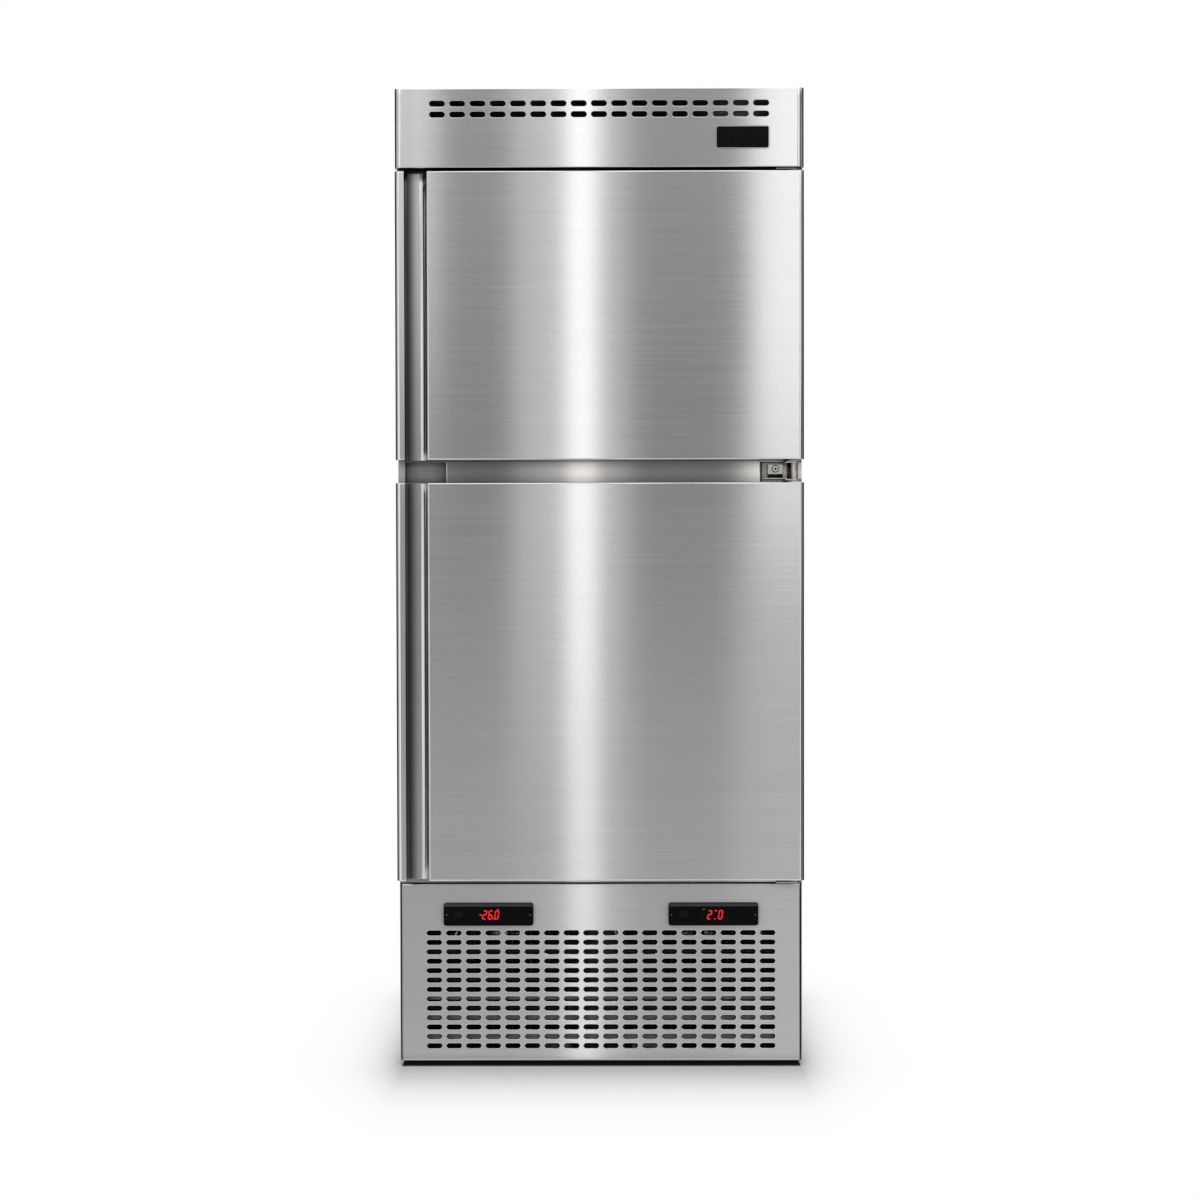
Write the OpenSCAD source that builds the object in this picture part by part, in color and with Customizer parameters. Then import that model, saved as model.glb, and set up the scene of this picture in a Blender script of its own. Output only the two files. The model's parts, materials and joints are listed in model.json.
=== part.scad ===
// Upright two-temperature cabinet with two half doors, a slotted header and a slotted base.
// X runs to the right seen from the front, Y to the back and Z up. The doors hang on the right.
// The origin is the middle of the footprint, on the floor.

/* [Cabinet] */
// Width over the side panels and the doors
cab_w = 830; // [780:1:900]
// Depth from the door faces to the screw heads at the back
cab_d = 800; // [780:1:900]
// Height of the floor gap under the base
foot_h = 10; // [8:1:25]
// Insulated side wall, with its sheets
side_wall = 70; // [60:1:80]
// Insulated back wall, with its sheets
back_wall = 60; // [50:1:80]
// Thickness of the steel sheet
sheet = 1; // [0.8:0.1:1.2]
// Height of the insulated body above the top of the upper door
roof_rise = 27; // [24:1:40]
// Width of the folded strip at the front of a side panel
strip_w = 14; // [12:1:16]
// Width of the folded strip at the back of a side panel
rear_strip_w = 20; // [18:1:30]
// Radius of the rounded corners of the two compartments
cove_r = 15; // [10:1:25]
// Thickness of the plastic thermal break round a compartment mouth
breaker_t = 4; // [3:0.5:6]
// Depth of the thermal break behind the front face
breaker_d = 30; // [20:1:40]

/* [Doors] */
// Height of the lower door
lower_door_h = 810; // [700:1:900]
// Height of the upper door
upper_door_h = 584; // [500:1:700]
// Thickness of a door without its seal
door_t = 52; // [48:1:60]
// Gap between the back of a door and the cabinet face
seal_gap = 13; // [12:0.5:15]
// Height of the rail that shows between the doors
mid_gap = 47; // [44:1:60]
// Radius of the upright edges of a door
door_edge_r = 10; // [6:1:12]
// Radius of the folds at the top and the bottom of a door face
door_fold_r = 2.5; // [2:0.5:4]
// Width of the folded strip at the back of a door skin
door_strip_w = 20; // [17:1:22]
// How far the plateau of the inner panel lies inside the door edge
plateau_inset = 85; // [80:1:110]
// Height of that plateau over the back of the door
plateau_h = 8; // [4:1:10]
// Distance from the edge of a door to its seal
seal_inset = 24; // [23:0.5:26]
// Width of the seal
seal_w = 20; // [16:1:22]
// How far a compartment mouth lies inside the door edge, above and below
seal_overlap = 48; // [47:1:60]

/* [Handle channel] */
// Width of the rounded lip at the edge of the door
lip_w = 19; // [16:1:22]
// Width of the mouth of the channel
channel_w = 46; // [40:1:52]
// Depth of the channel
channel_d = 32; // [28:1:36]
// Radius of the hollow behind the lip
undercut_r = 12; // [10:0.5:13]
// How far that hollow reaches under the lip
undercut = 8; // [5:0.5:9]
// Radius where the channel floor rises to the door face
channel_r = 16; // [12:1:18]
// Radius of the bend between the channel and the door face
bend_r = 3.5; // [2.5:0.5:5]

/* [Hinges] */
// Distance of the hinge axis from the side of the door
axis_inset = 18; // [16:0.5:20]
// Distance of the hinge axis behind the door face
axis_depth = 26; // [24:0.5:28]
// Diameter of the hinge pins
pin_d = 12; // [10:0.5:14]
// Length of a hinge pin inside the door
pin_h = 22; // [16:1:26]
// Radial clearance of a pin in its bush
pin_play = 0.05; // [0.02:0.01:0.1]
// Thickness of the hinge plates
hinge_t = 3; // [2.5:0.5:4]
// Space between a hinge plate and the end of a door
hinge_space = 4; // [3:0.5:5]
// Diameter of the post between the plates of the middle hinge
post_d = 14; // [13:0.5:18]
// Diameter of a hinge bush
bush_d = 20; // [17:0.5:22]
// Width of the upright leg of the top and bottom hinges
leg_w = 42; // [36:1:50]
// Height of that leg
leg_h = 24; // [20:1:24]
// Width of the back plate of the middle hinge
mid_plate_w = 52; // [44:1:58]
// Width of the clamping block of the middle hinge
block_w = 31; // [24:1:34]
// Height of the clamping block
block_h = 27; // [20:1:30]
// Thickness of the clamping block
block_t = 14; // [10:1:16]
// Width of the empty recess on the left of the middle rail
left_recess_w = 84; // [75:1:95]
// Width of the recess on the right of the middle rail, which holds the hinge
right_recess_w = 71; // [68:1:80]
// Depth of the two recesses
recess_d = 20; // [18:1:25]
// Radius of the bends between the middle rail and its recesses
recess_bend = 2.5; // [1.5:0.5:4]

/* [Header] */
// Height of the header
header_h = 160; // [140:1:200]
// Distance of the header behind the door faces
header_setback = 2; // [1:0.5:4]
// Gap between the upper door and the header
header_gap = 7; // [7:0.5:12]
// Radius of the upright corners of the header
header_r = 14; // [8:1:18]
// Radius of the folds at the top and the bottom of the header face
header_fold_r = 2; // [2:0.5:4]
// Number of columns of slots in the header
header_cols = 17; // [5:1:18]
// Number of rows of slots in the header
header_rows = 2; // [1:1:4]
// Distance between columns of header slots
header_col_pitch = 41; // [38:0.5:42]
// Distance between rows of header slots
header_row_pitch = 22; // [16:0.5:26]
// Distance of the first row of slots below the top
header_first_row = 31; // [20:1:40]
// Length of a header slot
header_slot_l = 32; // [20:0.5:35]
// Height of a header slot
header_slot_h = 12; // [6:0.5:13]

/* [Base] */
// Height of the base panel
base_h = 368; // [340:1:400]
// Gap between the base panel and the lower door
base_gap = 14; // [11:0.5:20]
// Depth of the folded edges of the base panel
base_fold = 25; // [15:1:40]
// Radius of the bends round the face of the base panel
base_bend_r = 4; // [2:0.5:6]
// Number of columns of slots in the base panel
base_cols = 18; // [5:1:18]
// Number of rows of slots in the base panel
base_rows = 13; // [3:1:13]
// Distance between columns of base slots
base_col_pitch = 40.5; // [38:0.5:42]
// Distance between rows of base slots
base_row_pitch = 19.5; // [16:0.5:20]
// Height of the lowest row above the bottom of the base panel
base_first_row = 31; // [20:1:40]
// Length of a base slot
base_slot_l = 31.5; // [20:0.5:35]
// Height of a base slot
base_slot_h = 10.5; // [6:0.5:12]
// Distance of a controller's middle from the middle of the cabinet
controller_x = 232; // [200:1:260]
// Width of a controller
controller_w = 185; // [170:1:200]
// Height of the flat front of a controller
controller_h = 40; // [36:1:44]
// Height of the sloped lip over that front
controller_lip = 7; // [4:0.5:10]
// Thickness of the controller bezel
controller_t = 7; // [5:0.5:10]
// Radius of the corners of a controller
controller_r = 5; // [3:0.5:8]
// Height of a controller's middle above the bottom of the base panel
controller_z = 301; // [295:1:310]
// Width of the controller housing behind the panel
housing_w = 150; // [140:1:160]
// Height of the controller housing
housing_h = 30; // [26:1:32]
// Depth of the controller housing
housing_d = 56; // [40:1:80]

/* [Interior] */
// Gap between the side of a wire shelf and its runner
shelf_play = 8.5; // [4:0.5:12]
// Depth of a wire shelf
shelf_d = 530; // [500:1:534]
// Diameter of the rod that frames a shelf
frame_rod_d = 7; // [6:0.5:9]
// Diameter of the wires of a shelf
wire_d = 3.5; // [3:0.5:5]
// Number of wires across a shelf
wire_count = 25; // [11:1:31]
// Distance of the front edge of a shelf behind the cabinet face
shelf_setback = 20; // [15:1:30]
// Depth of the shelf posts
post_depth = 10; // [8:1:11]
// Width of the shelf posts
post_w = 26; // [20:1:34]
// Distance between the slots in a shelf post
post_pitch = 50; // [40:1:70]
// Thickness of the posts and the runners
rail_t = 1.5; // [1.2:0.1:2]
// Width of the ledge of a runner
ledge_w = 24; // [20:1:26]
// Height of the upright side of a runner
runner_h = 22; // [16:1:30]
// Depth of the plenum behind the air cover
plenum_d = 110; // [100:1:120]

/* [Refrigeration] */
// Diameter of the evaporator fans
evap_fan_d = 150; // [120:1:160]
// Diameter of the condenser fans
cond_fan_d = 200; // [160:1:230]
// Number of blades of a fan
blade_count = 5; // [3:1:7]
// Distance of a compressor's middle from the side of the cabinet
unit_side = 210; // [200:1:215]
// Radius of a compressor shell
shell_r = 78; // [65:1:85]
// Height of a compressor shell
shell_h = 155; // [140:1:170]
// Width of a condenser
cond_w = 340; // [300:1:360]
// Height of a condenser
cond_h = 240; // [220:1:250]
// Depth of a condenser
cond_d = 54; // [40:1:60]
// Number of fins of a condenser
cond_fins = 17; // [9:2:21]
// Number of tubes of a condenser
cond_tubes = 8; // [4:1:9]
// Radius of the condenser and evaporator tubes
tube_r = 5; // [4:0.5:6]
// Radius of the copper pipes
pipe_r = 4; // [3:0.5:5]
// Radius of the bends in the copper pipes
pipe_bend = 16; // [12:1:20]
// Radius of the cable opening in the gland
gland_bore_r = 5; // [4:0.5:6]

/* [Hidden] */
$fn = 48;

// A cut reaches this far past the faces it opens
over = 1;
// Clearance where a foamed or fitted piece lies in its sheet
fit = 0.3;

// Heights, from the floor up
base_z0 = foot_h;
base_z1 = base_z0 + base_h;
lower_z0 = base_z1 + base_gap;
lower_z1 = lower_z0 + lower_door_h;
upper_z0 = lower_z1 + mid_gap;
upper_z1 = upper_z0 + upper_door_h;
header_z0 = upper_z1 + header_gap;
header_z1 = header_z0 + header_h;
body_lift = 2;
body_z0 = base_z1 + body_lift;
body_z1 = upper_z1 + roof_rise;
lower_cav = [lower_z0 + seal_overlap, lower_z1 - seal_overlap];
upper_cav = [upper_z0 + seal_overlap, upper_z1 - seal_overlap];

// Places across and front to back
half_w = cab_w / 2;
front_y = -cab_d / 2;
door_y1 = front_y + door_t;
face_y = door_y1 + seal_gap;
screw_head_h = 2.4;
screw_head_r = 4.5;
case_y1 = cab_d / 2 - screw_head_h;
skin_in = half_w - sheet;
cav_x = half_w - side_wall;
cav_y1 = case_y1 - back_wall;
back_in = case_y1 - 2 * sheet;
foam_y0 = face_y + sheet;
foam_z0 = body_z0 + sheet;
foam_z1 = body_z1 - sheet;
breaker_y1 = face_y + breaker_d;

// Hinge axis
axis_x = half_w - axis_inset;
axis_y = front_y + axis_depth;

// Range of a given size about a middle
function about(middle, size) = [middle - size / 2, middle + size / 2];

module slab(x, y, z) {
  translate([x[0], y[0], z[0]]) cube([x[1] - x[0], y[1] - y[0], z[1] - z[0]]);
}

// Both the left and the right copy of a shape
module both_sides() {
  children();
  mirror([1, 0, 0]) children();
}

// Rectangle with round corners, from its ranges along both axes
module round_rect(x, y, r) {
  translate([x[0] + r, y[0]]) square([x[1] - x[0] - 2 * r, y[1] - y[0]]);
  translate([x[0], y[0] + r]) square([x[1] - x[0], y[1] - y[0] - 2 * r]);
  for (cx = [x[0] + r, x[1] - r], cy = [y[0] + r, y[1] - r]) translate([cx, cy]) circle(r);
}

// A flat shape drawn across and up, made solid from front to back
module along_y(y) {
  translate([0, y[1], 0]) rotate([90, 0, 0]) linear_extrude(y[1] - y[0]) children();
}

// Bar over the whole width that is a rounded rectangle seen from the side
module across(y, z, r) {
  translate([-half_w, 0, 0]) rotate([90, 0, 90]) linear_extrude(cab_w) round_rect(y, z, r);
}

// Straight round rod between two points
module rod(a, b, r) {
  d = b - a;
  l = norm(d);
  translate(a) rotate([0, acos(d[2] / l), atan2(d[1], d[0])]) cylinder(r = r, h = l);
}

// Quarter bend that turns from direction u to direction v at the corner p
module quarter_bend(p, u, v, bend, r) {
  c = p - bend * u + bend * v;
  w = cross(-v, u);
  multmatrix([
    [-v[0], u[0], w[0], c[0]],
    [-v[1], u[1], w[1], c[1]],
    [-v[2], u[2], w[2], c[2]],
    [0, 0, 0, 1]
  ]) rotate_extrude(angle = 90) translate([bend, 0]) circle(r, $fn = 24);
}

// Pipe through a list of corner points whose runs meet at right angles
module pipe(points, r, bend) {
  n = len(points);
  for (i = [0:n - 2]) {
    u = (points[i + 1] - points[i]) / norm(points[i + 1] - points[i]);
    a = points[i] + (i > 0 ? bend : 0) * u;
    b = points[i + 1] - (i < n - 2 ? bend : 0) * u;
    rod(a, b, r, $fn = 24);
    if (i < n - 2) {
      v = (points[i + 2] - points[i + 1]) / norm(points[i + 2] - points[i + 1]);
      quarter_bend(points[i + 1], u, v, bend, r);
    }
  }
}

// Slot with round ends, drawn flat
module slot_2d(l, h) {
  square([l - h, h], center = true);
  for (s = [-1, 1]) translate([s * (l - h) / 2, 0]) circle(h / 2, $fn = 32);
}

// Rows and columns of slots about a middle line, from the lowest row up
module slot_field(cols, rows, col_pitch, row_pitch, l, h) {
  for (i = [0:cols - 1], j = [0:rows - 1])
    translate([(i - (cols - 1) / 2) * col_pitch, j * row_pitch]) slot_2d(l, h);
}

// Pan-head screw whose seat lies at the origin, with the head towards -Y
module screw(shank) {
  rotate([90, 0, 0]) {
    difference() {
      cylinder(r = screw_head_r, h = screw_head_h);
      translate([0, 0, screw_head_h / 2])
        cylinder(r = screw_head_r / 2, h = over + screw_head_h, $fn = 6);
    }
    translate([0, 0, -shank]) cylinder(r = screw_head_r / 2, h = shank);
  }
}

// Insulated body

// Front recess for a middle hinge, drawn across and up
recess_margin = 3;
recess_z = [lower_z1 + recess_margin, upper_z0 - recess_margin];
left_recess_x = [-half_w + strip_w, -half_w + strip_w + left_recess_w];
right_recess_x = [half_w - strip_w - right_recess_w, half_w - strip_w];
recess_floor_y = face_y + recess_d;
// The upright edge of each recess that meets the rail, and the side the rail lies on
recess_edges = [[left_recess_x[1], 1], [right_recess_x[0], -1]];

module cavity_2d(cav, grow) {
  round_rect([-cav_x - grow, cav_x + grow], [cav[0] - grow, cav[1] + grow], cove_r + grow);
}

// Corner of the rail beside a recess, reaching deep from y0 and grown by e
module rail_corner(edge, y0, e) {
  reach = edge[1] * (recess_bend + e);
  slab([min(edge[0], edge[0] + reach), max(edge[0], edge[0] + reach)],
    [y0, face_y + recess_bend + e], recess_z + [-e, e]);
}

module insulation() {
  color([0.93, 0.89, 0.72]) difference() {
    slab([-skin_in, skin_in], [foam_y0, back_in], [foam_z0, foam_z1]);
    for (cav = [lower_cav, upper_cav]) {
      along_y([foam_y0 - over, breaker_y1 + fit]) cavity_2d(cav, breaker_t + fit);
      along_y([breaker_y1 - over, cav_y1 + sheet + fit]) cavity_2d(cav, sheet + fit);
    }
    for (x = [left_recess_x, right_recess_x])
      slab([x[0] - sheet - fit, x[1] + sheet + fit], [foam_y0 - over, recess_floor_y + sheet + fit],
        [recess_z[0] - sheet - fit, recess_z[1] + sheet + fit]);
    for (edge = recess_edges) rail_corner(edge, foam_y0 - over, fit);
  }
}

// Screws that hold the back panel to the strips of the side panels
rear_screw_x = half_w - rear_strip_w / 2;
rear_screw_end = 60;
rear_screw_run = body_z1 - body_z0 - 2 * rear_screw_end;
rear_screw_z = [for (i = [0:4]) body_z0 + rear_screw_end + i * rear_screw_run / 4];

module rear_screw_holes() {
  for (z = rear_screw_z) translate([rear_screw_x, back_in - over, z]) rotate([-90, 0, 0])
    cylinder(r = screw_head_r / 2 + fit, h = 2 * sheet + 2 * over);
}

// Right side panel, from the floor gap to the top of the header
module side_panel() {
  difference() {
    union() {
      slab([skin_in, half_w], [face_y, case_y1], [base_z0, header_z1]);
      slab([half_w - strip_w, half_w], [face_y - sheet, face_y], [body_z0, header_z1]);
      slab([half_w - rear_strip_w, half_w], [case_y1 - sheet, case_y1], [base_z0, header_z1]);
      slab([half_w - strip_w, half_w], [face_y - sheet, case_y1], [header_z1 - sheet, header_z1]);
    }
    rear_screw_holes();
  }
}

module right_side_panel() {
  color([0.72, 0.73, 0.74]) side_panel();
}

module left_side_panel() {
  color([0.72, 0.73, 0.74]) mirror([1, 0, 0]) side_panel();
}

module back_panel() {
  color([0.7, 0.71, 0.72]) difference() {
    slab([-skin_in, skin_in], [back_in, back_in + sheet], [body_z0, body_z1]);
    both_sides() rear_screw_holes();
  }
}

module roof_panel() {
  color([0.7, 0.71, 0.72]) {
    slab([-skin_in, skin_in], [foam_y0, back_in], [foam_z1, body_z1]);
    slab([-skin_in, skin_in], [back_in - sheet, back_in], [body_z1 - sheet, body_z1 + strip_w]);
  }
}

module floor_panel() {
  color([0.66, 0.67, 0.68]) slab([-skin_in, skin_in], [foam_y0, back_in], [body_z0, foam_z0]);
}

module front_frame() {
  color([0.7, 0.7, 0.69]) difference() {
    union() {
      slab([-skin_in, skin_in], [face_y, foam_y0], [body_z0, body_z1]);
      for (x = [left_recess_x, right_recess_x])
        slab([x[0] - sheet, x[1] + sheet], [face_y, recess_floor_y + sheet],
          [recess_z[0] - sheet, recess_z[1] + sheet]);
      for (edge = recess_edges) rail_corner(edge, face_y, 0);
    }
    for (cav = [lower_cav, upper_cav])
      along_y([face_y - over, foam_y0 + over]) cavity_2d(cav, breaker_t);
    for (x = [left_recess_x, right_recess_x])
      slab(x, [face_y - over, recess_floor_y], recess_z);
    for (edge = recess_edges) difference() {
      rail_corner(edge, face_y - over, 0);
      translate([edge[0] + edge[1] * recess_bend, face_y + recess_bend, recess_z[0] - over])
        cylinder(r = recess_bend, h = recess_z[1] - recess_z[0] + 2 * over);
    }
  }
}

module liner(cav) {
  color([0.78, 0.79, 0.8]) difference() {
    along_y([breaker_y1, cav_y1 + sheet]) cavity_2d(cav, sheet);
    along_y([breaker_y1 - over, cav_y1]) cavity_2d(cav, 0);
  }
}

module upper_liner() {
  liner(upper_cav);
}

module lower_liner() {
  liner(lower_cav);
}

module thermal_breaks() {
  color([0.55, 0.56, 0.57]) for (cav = [lower_cav, upper_cav]) difference() {
    along_y([face_y, breaker_y1]) cavity_2d(cav, breaker_t);
    along_y([face_y - over, breaker_y1 + over]) cavity_2d(cav, 0);
  }
}

// Header

header_y = front_y + header_setback;

// Outline of the header from above, drawn in by e
module header_outline(e) {
  x = half_w - e;
  r = header_r - e;
  translate([-x + r, header_y + e]) square([2 * (x - r), face_y - sheet - header_y - e]);
  translate([-x, header_y + e + r]) square([2 * x, face_y - sheet - header_y - e - r]);
  for (s = [-1, 1]) translate([s * (x - r), header_y + e + r]) circle(r);
}

// The header from the side, with its front edges rounded, drawn in by e
module header_side(e) {
  across([header_y + e, face_y + 2 * header_fold_r], [header_z0 + e, header_z1 - e],
    header_fold_r - e);
}

module header_panel() {
  row0 = header_z1 - header_first_row - (header_rows - 1) * header_row_pitch;
  color([0.75, 0.76, 0.77]) difference() {
    intersection() {
      translate([0, 0, header_z0]) linear_extrude(header_h) header_outline(0);
      header_side(0);
    }
    intersection() {
      translate([0, 0, header_z0 + sheet]) linear_extrude(header_h - 2 * sheet) {
        header_outline(sheet);
        translate([-skin_in, face_y - 2 * sheet]) square([2 * skin_in, 2 * sheet + over]);
      }
      header_side(sheet);
    }
    along_y([header_y - over, header_y + sheet + over]) translate([0, row0])
      slot_field(header_cols, header_rows, header_col_pitch, header_row_pitch,
        header_slot_l, header_slot_h);
  }
}

// Cover over the roof, seated under the top folds of the side panels and of the header.
// Its drop at the back has an opening for the cable.
cover_tuck = 9;
cable_way = 45;

module top_cover() {
  z = [header_z1 - 2 * sheet, header_z1 - sheet];
  back_y = [back_in, back_in + sheet];
  color([0.7, 0.71, 0.72]) difference() {
    union() {
      slab([-skin_in, skin_in], [face_y, back_y[1]], z);
      slab([-half_w + strip_w + fit, half_w - strip_w - fit],
        [face_y - sheet - cover_tuck, face_y + over], z);
      slab([-skin_in, skin_in], back_y, [body_z1 + fit, z[1]]);
    }
    slab([gland_x - cable_way, gland_x + cable_way], back_y + [-over, over],
      [body_z1 - over, gland_z + cable_way]);
  }
}

// Hinges

arm_r = pin_d / 2 + 8;
leg_x = [half_w - strip_w - fit - leg_w, half_w - strip_w - fit];
leg_hole_x = [leg_x[0] + 9, leg_x[1] - 12];
leg_hole_z = leg_h - 9;

// Flat arm that carries a pin, from above
module arm_2d(x0) {
  translate([x0, axis_y]) square([axis_x + arm_r - x0, face_y - sheet - axis_y]);
  translate([x0, axis_y - arm_r]) square([axis_x - x0, arm_r]);
  translate([axis_x, axis_y]) circle(arm_r);
}

// Bottom hinge: an arm under the door, a leg on the cabinet face and a pin.
// Both holes in its leg take a screw.
module end_hinge() {
  difference() {
    union() {
      translate([0, 0, -hinge_t]) linear_extrude(hinge_t) arm_2d(leg_x[0]);
      slab(leg_x, [face_y - hinge_t, face_y], [-hinge_t, leg_h]);
      slab([leg_x[0], leg_x[1]], [face_y - 2 * sheet, face_y], [-hinge_t, 0]);
      translate([axis_x, axis_y, -hinge_t]) cylinder(d = pin_d, h = hinge_t + hinge_space + pin_h);
    }
    for (x = leg_hole_x)
      translate([x, face_y - hinge_t - over, leg_hole_z]) rotate([-90, 0, 0])
        cylinder(r = screw_head_r / 2 + fit, h = hinge_t + 2 * over);
  }
}

module bottom_hinge() {
  color([0.62, 0.62, 0.62]) translate([0, 0, lower_z0 - hinge_space]) end_hinge();
}

module top_hinge() {
  color([0.62, 0.62, 0.62]) translate([0, 0, upper_z1 + hinge_space]) mirror([0, 0, 1]) end_hinge();
}

// Middle hinge: a clamped back plate, two arms with a post between them, and a pin each way
mid_z = [lower_z1 + hinge_space, upper_z0 - hinge_space];
mid_plate_gap = 4;
mid_plate_x = [right_recess_x[0] + mid_plate_gap, right_recess_x[0] + mid_plate_gap + mid_plate_w];
block_x = about((mid_plate_x[0] + mid_plate_x[1]) / 2 + 1, block_w);
block_z = [mid_z[1] - hinge_t - 1 - block_h, mid_z[1] - hinge_t - 1];
block_y = [recess_floor_y - hinge_t - block_t, recess_floor_y - hinge_t];

module mid_arm_2d() {
  x0 = mid_plate_x[1] - 8;
  translate([x0, axis_y]) square([right_recess_x[1] - 1 - x0, recess_floor_y - axis_y]);
  translate([x0, axis_y - arm_r]) square([axis_x - x0, arm_r]);
  translate([axis_x, axis_y]) circle(arm_r);
}

module middle_hinge() {
  screw_x = (block_x[0] + block_x[1]) / 2;
  screw_z = (block_z[0] + block_z[1]) / 2;
  color([0.62, 0.62, 0.62]) difference() {
    union() {
      slab(mid_plate_x, [recess_floor_y - hinge_t, recess_floor_y], mid_z);
      slab(block_x, [block_y[0], block_y[1] + over], block_z);
      for (z = [mid_z[0], mid_z[1] - hinge_t])
        translate([0, 0, z]) linear_extrude(hinge_t) mid_arm_2d();
      translate([axis_x, axis_y, mid_z[0]]) cylinder(d = post_d, h = mid_z[1] - mid_z[0]);
      translate([axis_x, axis_y, mid_z[0] - hinge_space - pin_h])
        cylinder(d = pin_d, h = mid_z[1] - mid_z[0] + 2 * (hinge_space + pin_h));
    }
    translate([screw_x, block_y[0] - over, screw_z]) rotate([-90, 0, 0])
      cylinder(r = screw_head_r / 2 + fit, h = block_t + hinge_t + 2 * over);
  }
}

// Screws of the hinges and of the back strips
module case_screws() {
  color([0.5, 0.5, 0.5]) {
    for (x = leg_hole_x) {
      translate([x, face_y - hinge_t, lower_z0 - hinge_space + leg_hole_z]) screw(hinge_t);
      translate([x, face_y - hinge_t, upper_z1 + hinge_space - leg_hole_z]) screw(hinge_t);
    }
    translate([(block_x[0] + block_x[1]) / 2, block_y[0], (block_z[0] + block_z[1]) / 2])
      screw(block_t + hinge_t);
    both_sides() for (z = rear_screw_z) translate([rear_screw_x, case_y1, z])
      mirror([0, 1, 0]) screw(2 * sheet);
  }
}

// Base

base_x = skin_in - 0.5;
base_face_y = face_y - sheet;
pan_z = [base_z0 + 2 * sheet, base_z0 + 3 * sheet];
pan_x = base_x - sheet - fit;
cutout_w = housing_w + 2 * fit;
cutout_h = housing_h + 2 * fit;

// The base panel as a block back to y1, with its front edges rounded, drawn in by e
module base_block(y1, e) {
  x = [-base_x + e, base_x - e];
  y = [base_face_y + e, y1 + base_bend_r];
  z = [base_z0 + e, base_z1 - e];
  intersection() {
    translate([0, 0, z[0]]) linear_extrude(z[1] - z[0]) round_rect(x, y, base_bend_r - e);
    across(y, z, base_bend_r - e);
    slab(x, [y[0], y1], z);
  }
}

module base_panel() {
  color([0.75, 0.76, 0.77]) difference() {
    base_block(base_face_y + base_fold, 0);
    base_block(base_face_y + base_fold + over, sheet);
    along_y([base_face_y - over, base_face_y + sheet + over]) {
      translate([0, base_z0 + base_first_row])
        slot_field(base_cols, base_rows, base_col_pitch, base_row_pitch, base_slot_l, base_slot_h);
      for (s = [-1, 1]) translate([s * controller_x, base_z0 + controller_z])
        square([cutout_w, cutout_h], center = true);
    }
  }
}

module base_pan() {
  rim = 40;
  y0 = base_face_y + base_fold + 1;
  color([0.6, 0.61, 0.62]) difference() {
    union() {
      slab([-pan_x, pan_x], [y0, back_in - fit], pan_z);
      both_sides() slab([pan_x - sheet, pan_x], [y0, back_in - fit], [pan_z[0], pan_z[0] + rim]);
      slab([-pan_x, pan_x], [back_in - fit - sheet, back_in - fit], [pan_z[0], pan_z[0] + rim]);
    }
    for (p = foot_places)
      translate([p[0], p[1], pan_z[0] - over]) cylinder(r = foot_stem_r + fit, h = sheet + 2 * over);
  }
}

// Levelling feet: a pad on the floor, a hexagon and a stem through the pan
foot_pad_r = 22;
foot_stem_r = 5;
foot_side = 40;
foot_front = 70;
foot_back = 60;
foot_x = pan_x - foot_side;
foot_places = [for (x = [-foot_x, foot_x], y = [face_y + foot_front, back_in - foot_back]) [x, y]];

module levelling_feet() {
  pad_edge = 2;
  pad_h = 6;
  pad_top_r = foot_stem_r + 6;
  hexagon_r = 9;
  thread_over = 22;
  color([0.2, 0.2, 0.2]) for (p = foot_places) translate([p[0], p[1], 0]) {
    rotate_extrude()
      polygon([[0, 0], [foot_pad_r, 0], [foot_pad_r, pad_edge], [pad_top_r, pad_h], [0, pad_h]]);
    cylinder(r = hexagon_r, h = pan_z[0], $fn = 6);
    cylinder(r = foot_stem_r, h = pan_z[1] + thread_over);
  }
}

// Grille at the back of the machine compartment
grille_first = 90;

module rear_grille() {
  x = skin_in - 2;
  z = [pan_z[0] + 2, body_z0 - 2];
  color([0.66, 0.67, 0.68]) difference() {
    slab([-x, x], [back_in, back_in + sheet], z);
    along_y([back_in - over, back_in + sheet + over]) translate([0, z[0] + grille_first])
      slot_field(9, 8, 60, 24, 44, 9);
  }
}

// Controllers: bezel with a sloped lip on top and a housing through the panel
controller_bottom = base_z0 + controller_z - controller_h / 2;
window_x = [-28, 33];
window_h = 24;
window_t = 1;

module controllers() {
  y1 = base_face_y;
  y0 = y1 - controller_t;
  z0 = controller_bottom;
  z1 = z0 + controller_h;
  color([0.06, 0.06, 0.07]) for (s = [-1, 1]) translate([s * controller_x, 0, 0]) difference() {
    union() {
      intersection() {
        translate([-controller_w / 2, 0, 0]) rotate([90, 0, 90]) linear_extrude(controller_w)
          polygon([[y0, z0], [y1, z0], [y1, z1 + controller_lip], [y1 - 1, z1 + controller_lip], [y0, z1]]);
        along_y([y0 - over, y1 + over])
          round_rect(about(0, controller_w), [z0, z1 + controller_lip], controller_r);
      }
      slab(about(0, housing_w), [y1 - over, y1 + housing_d],
        about(base_z0 + controller_z, housing_h));
    }
    slab(window_x, [y0 - over, y0 + window_t], about(base_z0 + controller_z, window_h));
  }
}

module display_windows() {
  y0 = base_face_y - controller_t;
  color([0.25, 0.02, 0.02]) for (s = [-1, 1]) translate([s * controller_x, 0, 0])
    slab(window_x + [fit / 2, -fit / 2], [y0, y0 + window_t],
      about(base_z0 + controller_z, window_h - fit));
}

// Refrigeration, in the base

unit_x = half_w - unit_side;
pan_top = pan_z[1];
mount_h = 8;
mount_r = 13;
comp_y = 40;
comp_foot = [95, 70];
comp_plate_t = 4;

dome_r = 30;

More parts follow.
